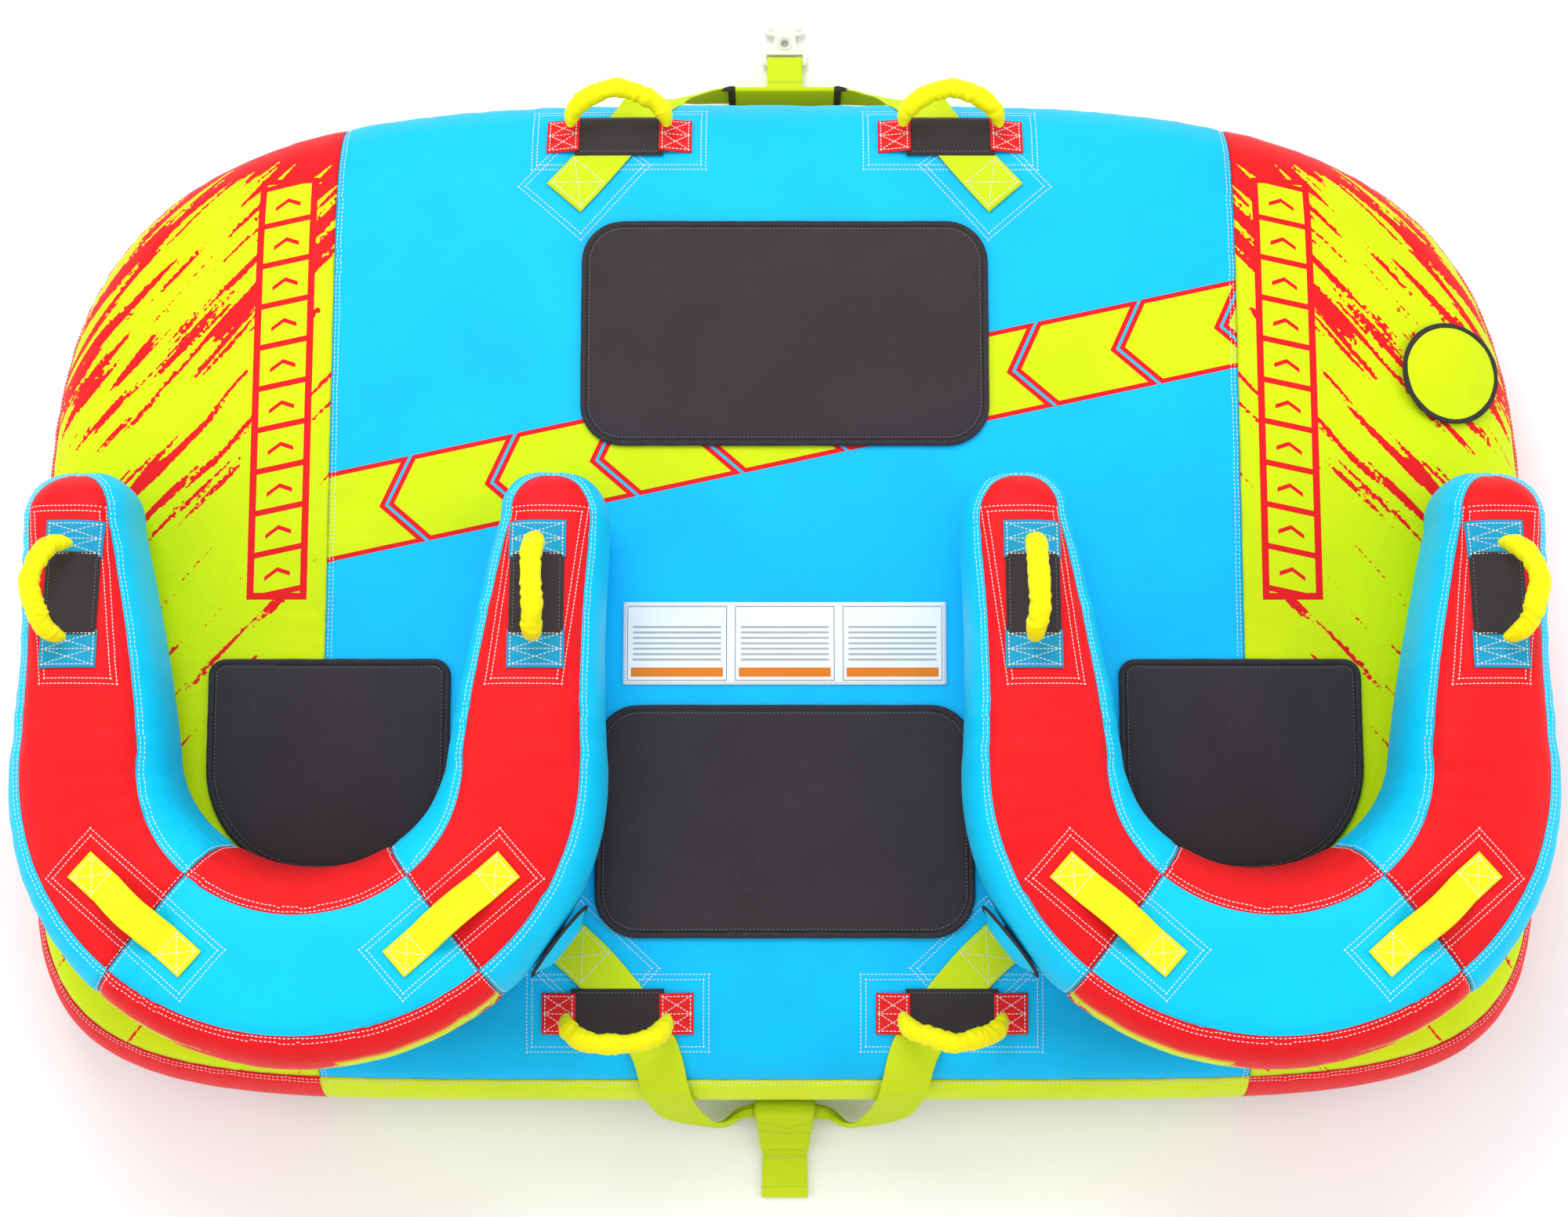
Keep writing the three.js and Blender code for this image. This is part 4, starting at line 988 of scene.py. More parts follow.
def neoprene_pad(name, centre, half, radii):
    """One sewn foam pad: its body, bound edge and stitches."""
    inner = pad_outline(half, radii, -0.0035) + centre
    body = bmesh.new()
    low = [body.verts.new((x, y, pad_rest + 0.0008)) for x, y in inner]
    floor_face = body.faces.new(low)
    top = bmesh.ops.extrude_face_region(body, geom=[floor_face])
    for part in top["geom"]:
        if isinstance(part, bmesh.types.BMVert):
            part.co.z += 0.0072
    bmesh.ops.recalc_face_normals(body, faces=body.faces)
    mesh = bpy.data.meshes.new(f"{name}_foam")
    body.to_mesh(mesh)
    body.free()
    pad = bpy.data.objects.new(f"{name}_foam", mesh)
    bpy.context.scene.collection.objects.link(pad)
    mesh.materials.append(neoprene)
    blocks = pad.modifiers.new("blocks", "REMESH")
    blocks.mode = "VOXEL"
    blocks.voxel_size = pad_voxel
    settle(pad)
    puff(pad, 4.0, 0.0018)
    places = points_of(pad)
    edge = pad_outline(half, radii) + centre
    edge = respaced(np.concatenate([edge, edge[:1]]), 700)
    flat_edge = np.column_stack([edge, np.zeros(len(edge))])
    away, run = seam_distances(np.column_stack([places[:, :2], np.zeros(len(places))]), [flat_edge])
    swell = 0.0052 + 0.0062 * (1 - np.exp(-away / 0.016))
    swell += 0.0004 * wander(run, 0.024, 51) * np.exp(-away / 0.03)
    swell += 0.0005 * ripple(places[:, 0], places[:, 1], 0.09, 53) * np.minimum(1, away / 0.05)
    swell -= 0.0013 * np.exp(-((away - 0.011) / 0.0022) ** 2)
    upper = places[:, 2] > pad_rest + 0.0045
    places[:, 2] = np.where(upper, pad_rest + swell, pad_rest + 0.0008)
    set_points(pad, places)
    finer = pad.modifiers.new("finer", "SUBSURF")
    finer.levels = finer.render_levels = 1
    settle(pad)
    pad.data.shade_smooth()
    fit(pad, "tube", "neoprene", name)
    rim = respaced(np.concatenate([inner, inner[:1]]), 420)[:-1]
    runs = unit(np.roll(rim, -1, 0) - np.roll(rim, 1, 0))
    out = np.stack([runs[:, 1], -runs[:, 0], 0 * runs[:, 0]], -1)
    creep = 1 + 0.06 * wander(np.arange(len(rim)), 7, 57)
    section = np.array([(0.0052 * math.cos(t) ** 3 * 0.4 + 0.0052 * math.cos(t) * 0.6, 0.0041 * math.sin(t))
                        for t in np.linspace(0, 2 * math.pi, 13)[:-1]])
    path = np.column_stack([rim, np.full(len(rim), pad_rest + 0.0044)])
    bound = swept(f"{name}_binding", path, out, np.tile([0, 0, 1.0], (len(rim), 1)), section, binding, True,
                  np.column_stack([creep, creep]))
    fit(bound, "tube", "neoprene")
    inset = pad_outline(half, radii, -0.0105) + centre
    line = respaced(np.concatenate([inset, inset[:1]]), 400)
    row = seam_row(np.column_stack([line, np.full(400, pad_rest + 0.012)]), skin_of(pad), 0.0, 0.0058)
    stitch = (0.0042, 0.0015, 0.0011)
    set_along(f"{name}_stitches", stitch_tree, [row], stitch, dark_thread, "tube", "neoprene")


neoprene = neoprene_finish("neoprene", dye(50, 43, 47))
binding = woven_tape_finish("binding_tape", dye(46, 42, 46))
dark_thread = thread_finish("dark_thread", dye(96, 92, 96))
for pad_name, pad_centre, pad_half, pad_radii in (
    ("pad_front", (0, 0.374), (0.32, 0.18), (0.065, 0.065)),
    ("pad_rear", (0, -0.395), (0.29, 0.1775), (0.065, 0.065)),
    ("pad_left", (-0.705, -0.311), (0.186, 0.165), (0.165, 0.025)),
    ("pad_right", (0.705, -0.311), (0.186, 0.165), (0.165, 0.025)),
):
    neoprene_pad(pad_name, np.array(pad_centre), pad_half, pad_radii)


def label_print(finish, u, v):
    """A white patch with three framed panels and a warm bar under each."""
    third = 0.502 / 3
    cell = (((u + 0.251) / third).maths("FRACT") - 0.5) * third
    inside = (third / 2 - 0.006 - abs(cell)).maths("MINIMUM", 0.0645 - 0.006 - abs(v))
    frame_line = finish.rise(inside, 0.0, 0.0006) * (1 - finish.rise(inside, 0.0012, 0.0018))
    bar = finish.rise(inside, 0.006, 0.0065) * (1 - finish.rise(v, -0.038, -0.0375))
    stripe = finish.rise(((v / 0.0085).maths("FRACT") - 0.5).maths("ABSOLUTE"), 0.28, 0.34)
    block = finish.rise(v, -0.03, -0.0295) * (1 - finish.rise(v, 0.032, 0.0325))
    printed = stripe * finish.rise(inside, 0.009, 0.0095) * block
    length = finish.noise(finish.vector(v * 118.0, (u * 6.0).maths("FLOOR")), 1.0, 0.0)
    short = finish.rise(0.3 * length + 0.5 - abs(cell) * 9.0, 0.0, 0.02)
    grey = finish.mix(dye(250, 250, 248), dye(148, 150, 156), 0.75 * printed * short)
    return finish.mix(finish.mix(grey, dye(120, 122, 128), frame_line), dye(240, 132, 40), bar)


label_finish = cover_finish("label_cloth", label_print, 0.6, False)
label_flat = grid_flat(np.linspace(-0.251, 0.251, 90), np.linspace(-0.0645, 0.0645, 26))
label_edge = np.minimum(0.251 - np.abs(label_flat[..., 0]), 0.0645 - np.abs(label_flat[..., 1]))
label_dent = 0.0007 * np.exp(-((label_edge - 0.004) / 0.002) ** 2)
label_z = 0.2919 + 0.0005 * ripple(label_flat[..., 0], label_flat[..., 1], 0.05, 61) - label_dent
label_places = np.concatenate([label_flat + [0, -0.1195], label_z[..., None]], -1)
label = cloth_piece("label_cloth", label_places, label_flat, label_finish, (0, 0, 1))
label_skin = skin_of(label)
thicken(label, 0.0013)
fit(label, "tube", "label_fabric", "label_patch")
label_corners = [(-0.247, -0.18), (0.247, -0.18), (0.247, -0.059), (-0.247, -0.059)]
label_line = np.array(rounded_loop(label_corners, [0.002] * 4))
label_line = np.concatenate([label_line, label_line[:1]])
label_path = np.column_stack([label_line, np.full(len(label_line), 0.292)])
grey_thread = thread_finish("grey_thread", dye(205, 206, 208))
label_row = seam_row(label_path, label_skin, 0.0, 0.005)
label_stitch = (0.0038, 0.0013, 0.0009)
set_along("label_stitches", stitch_tree, [label_row], label_stitch, grey_thread, "tube", "label_fabric")


# ---- Cockpit covers -----------------------------------------------------------------------
# Each cockpit is a horseshoe air tube in a sewn nylon cover: a red crown over sky-blue walls on
# both arms, and the colours changed over on the curved back. Felled seams run round the crown
# and across both ends of the back.

cockpit_x, corner_y = 0.705, -0.318
half_span, back_depth, arm_length, tip_splay, nose_length = 0.322, 0.3, 0.36, 0.036, 0.085
arm_half_width, tip_narrowing, back_bulge = 0.118, 0.036, 0.028
crown_z, tip_drop, back_lean = 0.556, 0.031, 0.014
section_power = 3.2
back_start = 1 + 50 / 90
crown_share, back_crown_half = 0.75, 0.0875
nose_seam = 0.85


def cockpit_station(along):
    """Middle, outward way, half width, crown height and lean of the tube: along is 0 at the
    outboard tip, 2 at the middle of the back and 4 at the inboard tip."""
    inboard = along > 2
    place = 4 - along if inboard else along
    flip = -1 if inboard else 1
    if place < 1:
        ahead = 1 - place
        x = flip * (half_span + tip_splay * ahead ** 1.6)
        return (x, corner_y + arm_length * ahead, flip, -0.06 * ahead,
                arm_half_width - tip_narrowing * ahead, crown_z - tip_drop * ahead, 0.0)
    angle = (place - 1) * math.pi / 2
    c, s = math.cos(angle), math.sin(angle)
    slope = math.hypot(c / half_span, s / back_depth)
    out_x, out_y = flip * c / half_span / slope, -s / back_depth / slope
    return (flip * half_span * c, corner_y - back_depth * s, out_x, out_y,
            arm_half_width + back_bulge * s, crown_z, back_lean * s)


def squared(value):
    return np.sign(value) * np.abs(value) ** (2 / section_power)


def tube_points(side, along, turns, nose=0.0):
    """Points of the tube's skin: turn 0 faces outward and a quarter turn is the crown."""
    x0, y0, out_x, out_y, half, crown, lean = cockpit_station(along)
    shrink = max(0.0, 1 - nose ** 2.4) ** (1 / 2.4)
    up = (squared(np.sin(turns)) + 1) / 2
    shift = squared(np.cos(turns)) * half * shrink + lean * (2 * up - 1)
    x = side * (cockpit_x + x0 + out_x * shift)
    y = y0 + out_y * shift + nose * nose_length
    level = deck_level(x, y)
    foot = deck_rise * (1 + level) + 0.0015 + 0.014 * (1 - level ** 2)
    height = crown - foot
    low = foot + height * (1 - shrink) * 0.35
    high = crown - height * (1 - shrink) * 0.6
    return np.stack([x, y, low + (high - low) * up], -1)


def crown_turn(along):
    """The turn of the crown's outer seam."""
    station = cockpit_station(along)
    back = 1 <= along <= 3
    half = back_crown_half if back else crown_share * station[4]
    return math.acos(min(0.999, (half / station[4]) ** (section_power / 2)))


def crown_loop(side):
    """The seam all round the crown, as two halves from nose to nose."""
    halves = []
    for flip in (1, -1):
        path = []
        stations = [(0.0, t) for t in np.linspace(math.pi / 2, 0, 16)[:-1]]
        stations += [(along, 0.0) for along in np.linspace(0, 4, 240)]
        stations += [(4.0, t) for t in np.linspace(0, math.pi / 2, 16)[1:]]
        for along, swing in stations:
            spread = (math.pi / 2 - crown_turn(along)) * math.cos(swing)
            turn = math.pi / 2 - flip * spread
            path.append(tube_points(side, along, np.array([turn]), nose_seam * math.sin(swing))[0])
        halves.append(respaced(np.array(path), 640))
    return halves


def tube_rings(side, stations, columns):
    """Evenly spaced rings, each with its turns, from (along, nose) stations."""
    fine = np.linspace(-math.pi / 2, 1.5 * math.pi, 1601)
    rings, turns = [], []
    for along, nose in stations:
        ring = tube_points(side, along, fine, nose)
        run = run_lengths(ring)
        even = np.linspace(0, run[-1], columns)
        rings.append(np.stack([np.interp(even, run, ring[:, k]) for k in range(3)], -1))
        turns.append(np.interp(even, run, fine))
    return np.array(rings), np.array(turns)


def in_crown(stations, turns):
    """1 inside the crown and -1 on the walls."""
    inside = []
    for (along, nose), row in zip(stations, turns):
        spread = math.pi / 2 - crown_turn(along)
        swing = np.abs(row - math.pi / 2) / spread
        inside.append(np.where(swing ** 2 + (nose / nose_seam) ** 2 < 1, 1.0, -1.0))
    return np.array(inside)


def cover_panel(name, side, stations, seams, finish, seed):
    """One cut panel of a cockpit cover, drawn in at its seams."""
    columns = 118
    rings, turns = tube_rings(side, stations, columns)
    sign = in_crown(stations, turns)
    if stations[0][1] > 0.9:
        tip = rings[0].mean(0)
        rings = np.concatenate([np.broadcast_to(tip, (1, columns, 3)), rings])
        sign = np.concatenate([sign[:1], sign])
    girth = np.array([run_lengths(ring) - 0.5 * run_lengths(ring)[-1] for ring in rings])
    run = run_lengths(rings[:, columns // 2])
    flat = np.stack([girth, np.broadcast_to(run[:, None], girth.shape)], -1)
    panel = cloth_piece(name, rings, flat, finish)
    inside = KDTree(rings[..., 0].size)
    for k, place in enumerate(rings.reshape(-1, 3)):
        inside.insert(place, k)
    inside.balance()
    places = points_of(panel)
    own_sign = sign.ravel()[[inside.find(place)[1] for place in places]]
    away, _ = seam_distances(places, [np.asarray(seam) for seam in seams[:2]])
    layer = panel.data.attributes.new("crown", "FLOAT", "POINT")
    layer.data.foreach_set("value", (away * own_sign).astype(np.float32))
    draw_in(panel, seams, seed, 0.003, 0.0025, 0.055, 0.0018)
    return panel


def two_tone(crown_colour, wall_colour, marks=False):
    def colour_of(finish, u, v):
        crown = finish.node("ShaderNodeAttribute", {"attribute_name": "crown"}, out=2)
        wall = wall_colour
        if marks:
            torn = finish.noise(finish.vector(u * 16.0, v * 5.0), 1.0, 3.0)
            rough_edge = finish.noise(finish.vector(u, v), 70.0, 3.0)
            zone = finish.rise(crown, -0.125, -0.12) * (1 - finish.rise(crown, -0.068, -0.05))
            outer = finish.rise(u * cockpit_outer_sign, 0.0, 0.001)
            ink = finish.rise(torn + 0.3 * (rough_edge - 0.5), 0.5, 0.508)
            wall = finish.mix(wall_colour, lime, ink * zone * outer)
        return finish.mix(wall, crown_colour, finish.rise(crown, -0.0004, 0.0004))
    return colour_of


cockpit_outer_sign = -1.0
arm_cloth = cover_finish("cockpit_arm_nylon", two_tone(red, wall_blue), 0.44)
back_cloth = cover_finish("cockpit_back_nylon", two_tone(wall_blue, red, True), 0.44)
nose_shrinks = [0.1, 0.2, 0.3, 0.4, 0.5, 0.58, 0.66, 0.73, 0.79, 0.84, 0.885, 0.92, 0.95, 0.975, 0.993]
nose_steps = [(1 - shrink ** 2.4) ** (1 / 2.4) for shrink in nose_shrinks]
arm_alongs = list(np.linspace(0, 1, 45)) + list(np.linspace(1, back_start, 34)[1:])
back_alongs = list(np.linspace(back_start, 4 - back_start, 66))
cockpit_skins = {}
for cockpit, side in (("left", -1), ("right", 1)):
    crown_seams = crown_loop(side)
    ring_turns = np.linspace(-math.pi / 2, 1.5 * math.pi, 1201)
    back_ends = (back_start, 4 - back_start)
    end_seams = [respaced(tube_points(side, along, ring_turns), 300) for along in back_ends]
    seams = [*crown_seams, *end_seams]
    tip_row = [(0.0, nose) for nose in nose_steps]
    outboard = tip_row + [(along, 0.0) for along in arm_alongs]
    inboard = [(4.0 - along, nose) for along, nose in outboard]
    back = [(along, 0.0) for along in back_alongs]
    panels = {
        "outboard_arm": cover_panel(f"cockpit_{cockpit}_outboard_arm", side, outboard, seams, arm_cloth, 71),
        "inboard_arm": cover_panel(f"cockpit_{cockpit}_inboard_arm", side, inboard, seams, arm_cloth, 81),
        "back": cover_panel(f"cockpit_{cockpit}_back", side, back, seams, back_cloth, 91),
    }
    skin = skin_of(*panels.values())
    cockpit_skins[cockpit] = skin
    rows = []
    for seam in crown_seams:
        for gap in (0.0045, 0.0115):
            trial = [seam_row(seam, skin, way * gap, 0.05)[0][:, 2].mean() for way in (-1, 1)]
            rows.append(seam_row(seam, skin, gap * (-1 if trial[0] < trial[1] else 1)))
    sew_white(f"cockpit_{cockpit}_crown_stitches", rows)
    rows = [seam_row(seam[30:-30], skin, gap) for seam in end_seams for gap in (-0.0045, 0.0045)]
    sew_white(f"cockpit_{cockpit}_back_stitches", rows)
    for part, panel in panels.items():
        thicken(panel, cover_thickness)
        fit(panel, "tube", "cockpit_fabric", f"cockpit_{cockpit}_cover_{part}")


# ---- Valves -------------------------------------------------------------------------------
# A moulded valve with a push-in cap feeds each bladder through its cover. A round cloth flap
# with a bound edge is sewn along one side and folds over it.

def stand_at(origin, up, turn):
    """A place to build on: origin, then its own X, Y and Z ways, X turned in plan."""
    up = unit(np.array(up, float))
    ahead = np.array([math.cos(turn), math.sin(turn), 0.0])
    side = unit(np.cross(up, ahead))
    return np.array(origin, float), np.cross(side, up), side, up


def deck_stand(x, y, turn=0.0):
    """A stand on the deck top, upright to it."""
    step = 0.0005
    slope_x = float(deck_top(np.array(x + step), y) - deck_top(np.array(x - step), y)) / (2 * step)
    slope_y = float(deck_top(x, np.array(y + step)) - deck_top(x, np.array(y - step))) / (2 * step)
    return stand_at((x, y, float(deck_top(np.array(x), np.array(y)))), (-slope_x, -slope_y, 1), turn)


def oval(across, up):
    """The section of a bound edge."""
    turns = np.linspace(0, 2 * math.pi, 13)[:-1]
    return np.column_stack([across * np.cos(turns), up * np.sin(turns)])


def on_stand(stand, local):
    """Places given in a stand's own ways, in the frame."""
    origin, along, side, up = stand
    local = np.asarray(local, float)
    return origin + local[..., :1] * along + local[..., 1:2] * side + local[..., 2:3] * up


def lathe(name, stand, profile, finish, sides=64):
    """A round moulding from its (radius, height) profile, turned about the stand's Z."""
    turns = np.linspace(0, 2 * math.pi, sides + 1)
    ring = np.array(profile, float)
    local = np.stack([ring[:, :1] * np.cos(turns), ring[:, :1] * np.sin(turns), ring[:, 1:] + 0 * turns], -1)
    flat = np.stack([ring[:, :1] * turns, ring[:, 1:] + 0 * turns], -1)
    return cloth_piece(name, on_stand(stand, local), flat, finish)


def valve(name, stand, flap_radius, flap_cloth, flap_slot, prefix):
    seat, bore, neck, flange, cap_radius = 0.004, 0.015, 0.022, 0.034, 0.027
    inner = -0.017
    body_profile = [(bore, inner), (neck, inner), (neck, seat - 0.0006), (neck + 0.0015, seat),
                    (flange - 0.0015, seat), (flange, seat + 0.0012), (flange, seat + 0.0028),
                    (flange - 0.0016, seat + 0.004), (flange - 0.005, seat + 0.0034),
                    (bore + 0.002, seat + 0.004), (bore, seat + 0.0025), (bore, inner)]
    body = lathe(f"{name}_collar", stand, body_profile, valve_plastic)
    fit(body, "tube", "valve_plastic", f"{prefix}valve_body")
    plug = bore - 0.001
    cap_profile = [(0, -0.003), (plug - 0.001, -0.003), (plug, -0.002), (plug, 0.0085),
                   (cap_radius - 0.001, 0.0085), (cap_radius, 0.0095), (cap_radius, 0.0135),
                   (cap_radius - 0.0015, 0.015), (cap_radius - 0.006, 0.0152),
                   (cap_radius - 0.0075, 0.0142), (0.008, 0.0146), (0.0068, 0.0158), (0, 0.016)]
    cap = lathe(f"{name}_cap_moulding", stand, cap_profile, valve_plastic)
    grip_turns = np.linspace(0, 2 * math.pi, 29)[:-1]
    rim_ways = np.stack([np.cos(grip_turns), np.sin(grip_turns), 0 * grip_turns], -1)
    local = cap_radius * rim_ways + [0, 0, 0.0114]
    outward = on_stand(stand, local) - on_stand(stand, local * [0, 0, 1])
    ribs = [(on_stand(stand, local), np.tile(stand[3], (28, 1)), unit(outward))]
    fit(cap, f"{prefix}valve_cap", "valve_plastic", f"{prefix}valve_cap")
    set_along(f"{name}_cap_ribs", stitch_tree, ribs, (0.0042, 0.0018, 0.0016), valve_plastic,
              f"{prefix}valve_cap", "valve_plastic")
    radii = np.linspace(0, flap_radius, 30)
    turns = np.linspace(0, 2 * math.pi, 97)
    dome_radii = [0, 0.020, 0.037, flap_radius * 0.8, flap_radius]
    height = np.interp(radii, dome_radii, [0.0205, 0.0202, 0.0185, 0.0112, 0.0072])
    x, y = radii[:, None] * np.cos(turns), radii[:, None] * np.sin(turns)
    creased = height[:, None] + 0.0011 * ripple(x, y, 0.035, 101) * np.minimum(1, radii[:, None] / 0.02)
    creased = creased + 0.0005 * ripple(x, y, 0.012, 103) * (radii[:, None] / flap_radius) ** 2
    creased[:, -1] = creased[:, 0]
    dome = on_stand(stand, np.stack([x, y, creased], -1))
    cover = cloth_piece(f"{name}_flap_cloth", dome, np.stack([x, y], -1), flap_cloth, stand[3])
    edge = creased[-1, :-1]
    thicken(cover, 0.0016)
    fit(cover, f"{prefix}valve_flap", flap_slot, f"{prefix}valve_flap")
    ring = np.stack([flap_radius * np.cos(turns[:-1]), flap_radius * np.sin(turns[:-1]), edge - 0.0008], -1)
    out = unit(on_stand(stand, ring * [1, 1, 0]) - stand[0])
    puffed = 1 + 0.12 * wander(np.arange(96), 4, 107)
    bound = swept(f"{name}_flap_binding", on_stand(stand, ring), out, np.tile(stand[3], (96, 1)),
                  oval(0.0048, 0.0027), binding, True, np.column_stack([puffed, puffed]))
    fit(bound, f"{prefix}valve_flap", flap_slot)


valve_plastic = moulded_finish("valve_plastic", dye(44, 44, 48), 0.35)
lime_flap = cover_finish("lime_flap_nylon", plain(lime), 0.46, False)
blue_flap = cover_finish("blue_flap_nylon", plain(wall_blue), 0.46, False)
valve("main_valve", deck_stand(1.051, 0.312, math.pi / 2), 0.078, lime_flap, "flap_lime", "main_")
for cockpit, side in (("left", -1), ("right", 1)):
    station = cockpit_station(2.6)
    origin = tube_points(side, 2.6, np.array([0.0]))[0]
    out = unit(np.array([side * station[2], station[3], 0.0]))
    top = np.array([0.0, 0.0, 1.0])
    stand = (origin, np.cross(top, out), top, out)
    valve(f"cockpit_{cockpit}_valve", stand, 0.062, blue_flap, "flap_blue", f"cockpit_{cockpit}_")


# ---- Handles ------------------------------------------------------------------------------
# Eight grab handles: webbing in a wrinkled yellow padded sleeve, its ends held under box-X
# sewn patches, with a dark knuckle guard between. Twin rows frame each one on the cover.

def laid(stand, flat, skin, lift, reach=0.09):
    """Local places laid down on the skin under a stand, at a height over it."""
    flat = np.asarray(flat, float)
    up = stand[3]
    starts = on_stand(stand, np.concatenate([flat, np.full(flat.shape[:-1] + (1,), reach)], -1))
    lift = np.broadcast_to(lift, flat.shape[:-1])
    settled = np.empty_like(starts)
    for spot in np.ndindex(flat.shape[:-1]):
        hit = skin.ray_cast(Vector(starts[spot]), Vector(-up), 2.5 * reach)
        base = np.array(hit[0]) if hit[0] is not None else starts[spot] - up * reach
        settled[spot] = base + up * lift[spot]
    return settled


def laid_sheet(name, stand, size, middle, skin, lift_of, finish, thickness, step=0.004):
    """A cloth patch laid over a skin. lift_of gives the height of its face from local places."""
    across = np.linspace(-0.5, 0.5, max(4, round(size[0] / step)))
    deep = np.linspace(-0.5, 0.5, max(4, round(size[1] / step)))
    flat = grid_flat(across, deep) * size + middle
    places = laid(stand, flat, skin, lift_of(flat[..., 0], flat[..., 1]))
    sheet = cloth_piece(name, places, flat, finish, stand[3])
    skin_on = skin_of(sheet)
    thicken(sheet, thickness)
    return sheet, skin_on


def box_x(stand, middle, size, skin, inset=0.0055, halves=2, split=1):
    """The rows of a box-X: its outline, the line between its halves, and a cross in each."""
    w, d = size[0] / 2 - inset, size[1] / 2 - inset
    corners = [(-w, -d), (w, -d), (w, d), (-w, d)]
    lines = [[corners[k], corners[(k + 1) % 4]] for k in range(4)]
    cuts = np.linspace(-1, 1, halves + 1)
    for low, high in zip(cuts[:-1], cuts[1:]):
        box = [(-w, low * d), (w, low * d), (w, high * d), (-w, high * d)] if split else [
            (low * w, -d), (high * w, -d), (high * w, d), (low * w, d)]
        lines += [[box[0], box[2]], [box[1], box[3]]]
    for cut in cuts[1:-1]:
        lines.append([(-w, cut * d), (w, cut * d)] if split else [(cut * w, -d), (cut * w, d)])
    return [laid_row(stand, np.array(line) + middle, skin) for line in lines]


def laid_row(stand, line, skin, pitch=0.0058, lift=0.0004):
    """A row of stitches along a local line, laid on a skin."""
    line = np.asarray(line, float)
    path = respaced(line, max(3, round(run_lengths(line)[-1] / pitch) + 1))
    places = laid(stand, path, skin, 0.0)
    spots, ups = nearest(skin, places)
    runs = unit(np.gradient(places, axis=0))
    return spots + ups * lift, runs, ups


def frame_rows(stand, size, skin, gap=0.008, skew=0.0):
    """Twin rows of stitches round a rectangle, skewed to follow what it is on."""
    rows = []
    for grow in (0.0, gap):
        w, d = size[0] / 2 + grow, size[1] / 2 + grow
        corners = [(x, y + skew * x) for x, y in ((-w, -d), (w, -d), (w, d), (-w, d), (-w, -d))]
        rows += [laid_row(stand, np.array(corners[k:k + 2]), skin) for k in range(4)]
    return rows


def padded_grip(name, node, stand, span, axis_height, lean, seed, peak):
    """A padded tube of gathered cloth, arched between its sewn ends."""
    rings, sides = 120, 26
    angle = np.linspace(math.pi * 0.985, math.pi * 0.015, 240)
    bend = 2 / 2.6
    x = span / 2 * np.sign(np.cos(angle)) * np.abs(np.cos(angle)) ** bend
    arch = (1 - peak) * np.abs(np.sin(angle)) ** bend
    rise = grip_rise * (arch + peak * (1 - np.abs(x) / (span / 2)) ** 0.8)
    path = respaced(np.column_stack([x, 0 * x, rise]), rings)
    run = run_lengths(path)
    share = run / run[-1]
    fat = np.minimum(1, np.minimum(share, 1 - share) * 7) ** 0.6
    wide = 0.0086 + 0.0082 * fat ** 1.4
    thick = 0.0045 + 0.0115 * fat
    runs = unit(np.gradient(path, axis=0))
    out = np.stack([-runs[:, 2], 0 * run, runs[:, 0]], -1)
    turn = np.linspace(0, 2 * math.pi, sides + 1)
    crease = wander(run[:, None] * 1.0 + 0.004 * np.sin(turn * 2 + seed), 0.0115, seed)
    fine = wander(run[:, None] + 0.002 * np.cos(turn * 3), 0.0048, seed + 1)
    hollow = 0.55 + 0.45 * np.cos(turn)
    scale = 1.04 - fat[:, None] * (0.2 * np.abs(crease) * (0.6 + 0.6 * (1 - hollow)) + 0.08 * np.abs(fine))
    scale[:, -1] = scale[:, 0]
    sag = np.column_stack([0.0012 * wander(run, 0.03, seed + 2), 0.0022 * wander(run, 0.036, seed + 3)])
    local = (path[:, None] + out[:, None] * (thick[:, None] * np.cos(turn) * scale + sag[:, :1])[..., None]
             + np.array([0, 1.0, 0]) * (wide[:, None] * np.sin(turn) * scale + sag[:, 1:])[..., None])
    local = np.concatenate([0 * local[:1] + local[0].mean(0), local, 0 * local[:1] + local[-1].mean(0)])
    c, s = math.cos(lean), math.sin(lean)
    tilted = local @ np.array([[1, 0, 0], [0, c, s], [0, -s, c]]) + [0, 0, axis_height]
    girth = 0.016 * turn
    long_run = np.concatenate([[0], run, [run[-1]]])
    flat = np.stack(np.broadcast_arrays(girth[None], long_run[:, None]), -1)
    grip = cloth_piece(name, on_stand(stand, tilted), flat, grip_cloth)
    finer = grip.modifiers.new("finer", "SUBSURF")
    finer.levels = finer.render_levels = 1
    settle(grip)
    fit(grip, node, "grip_fabric", node)


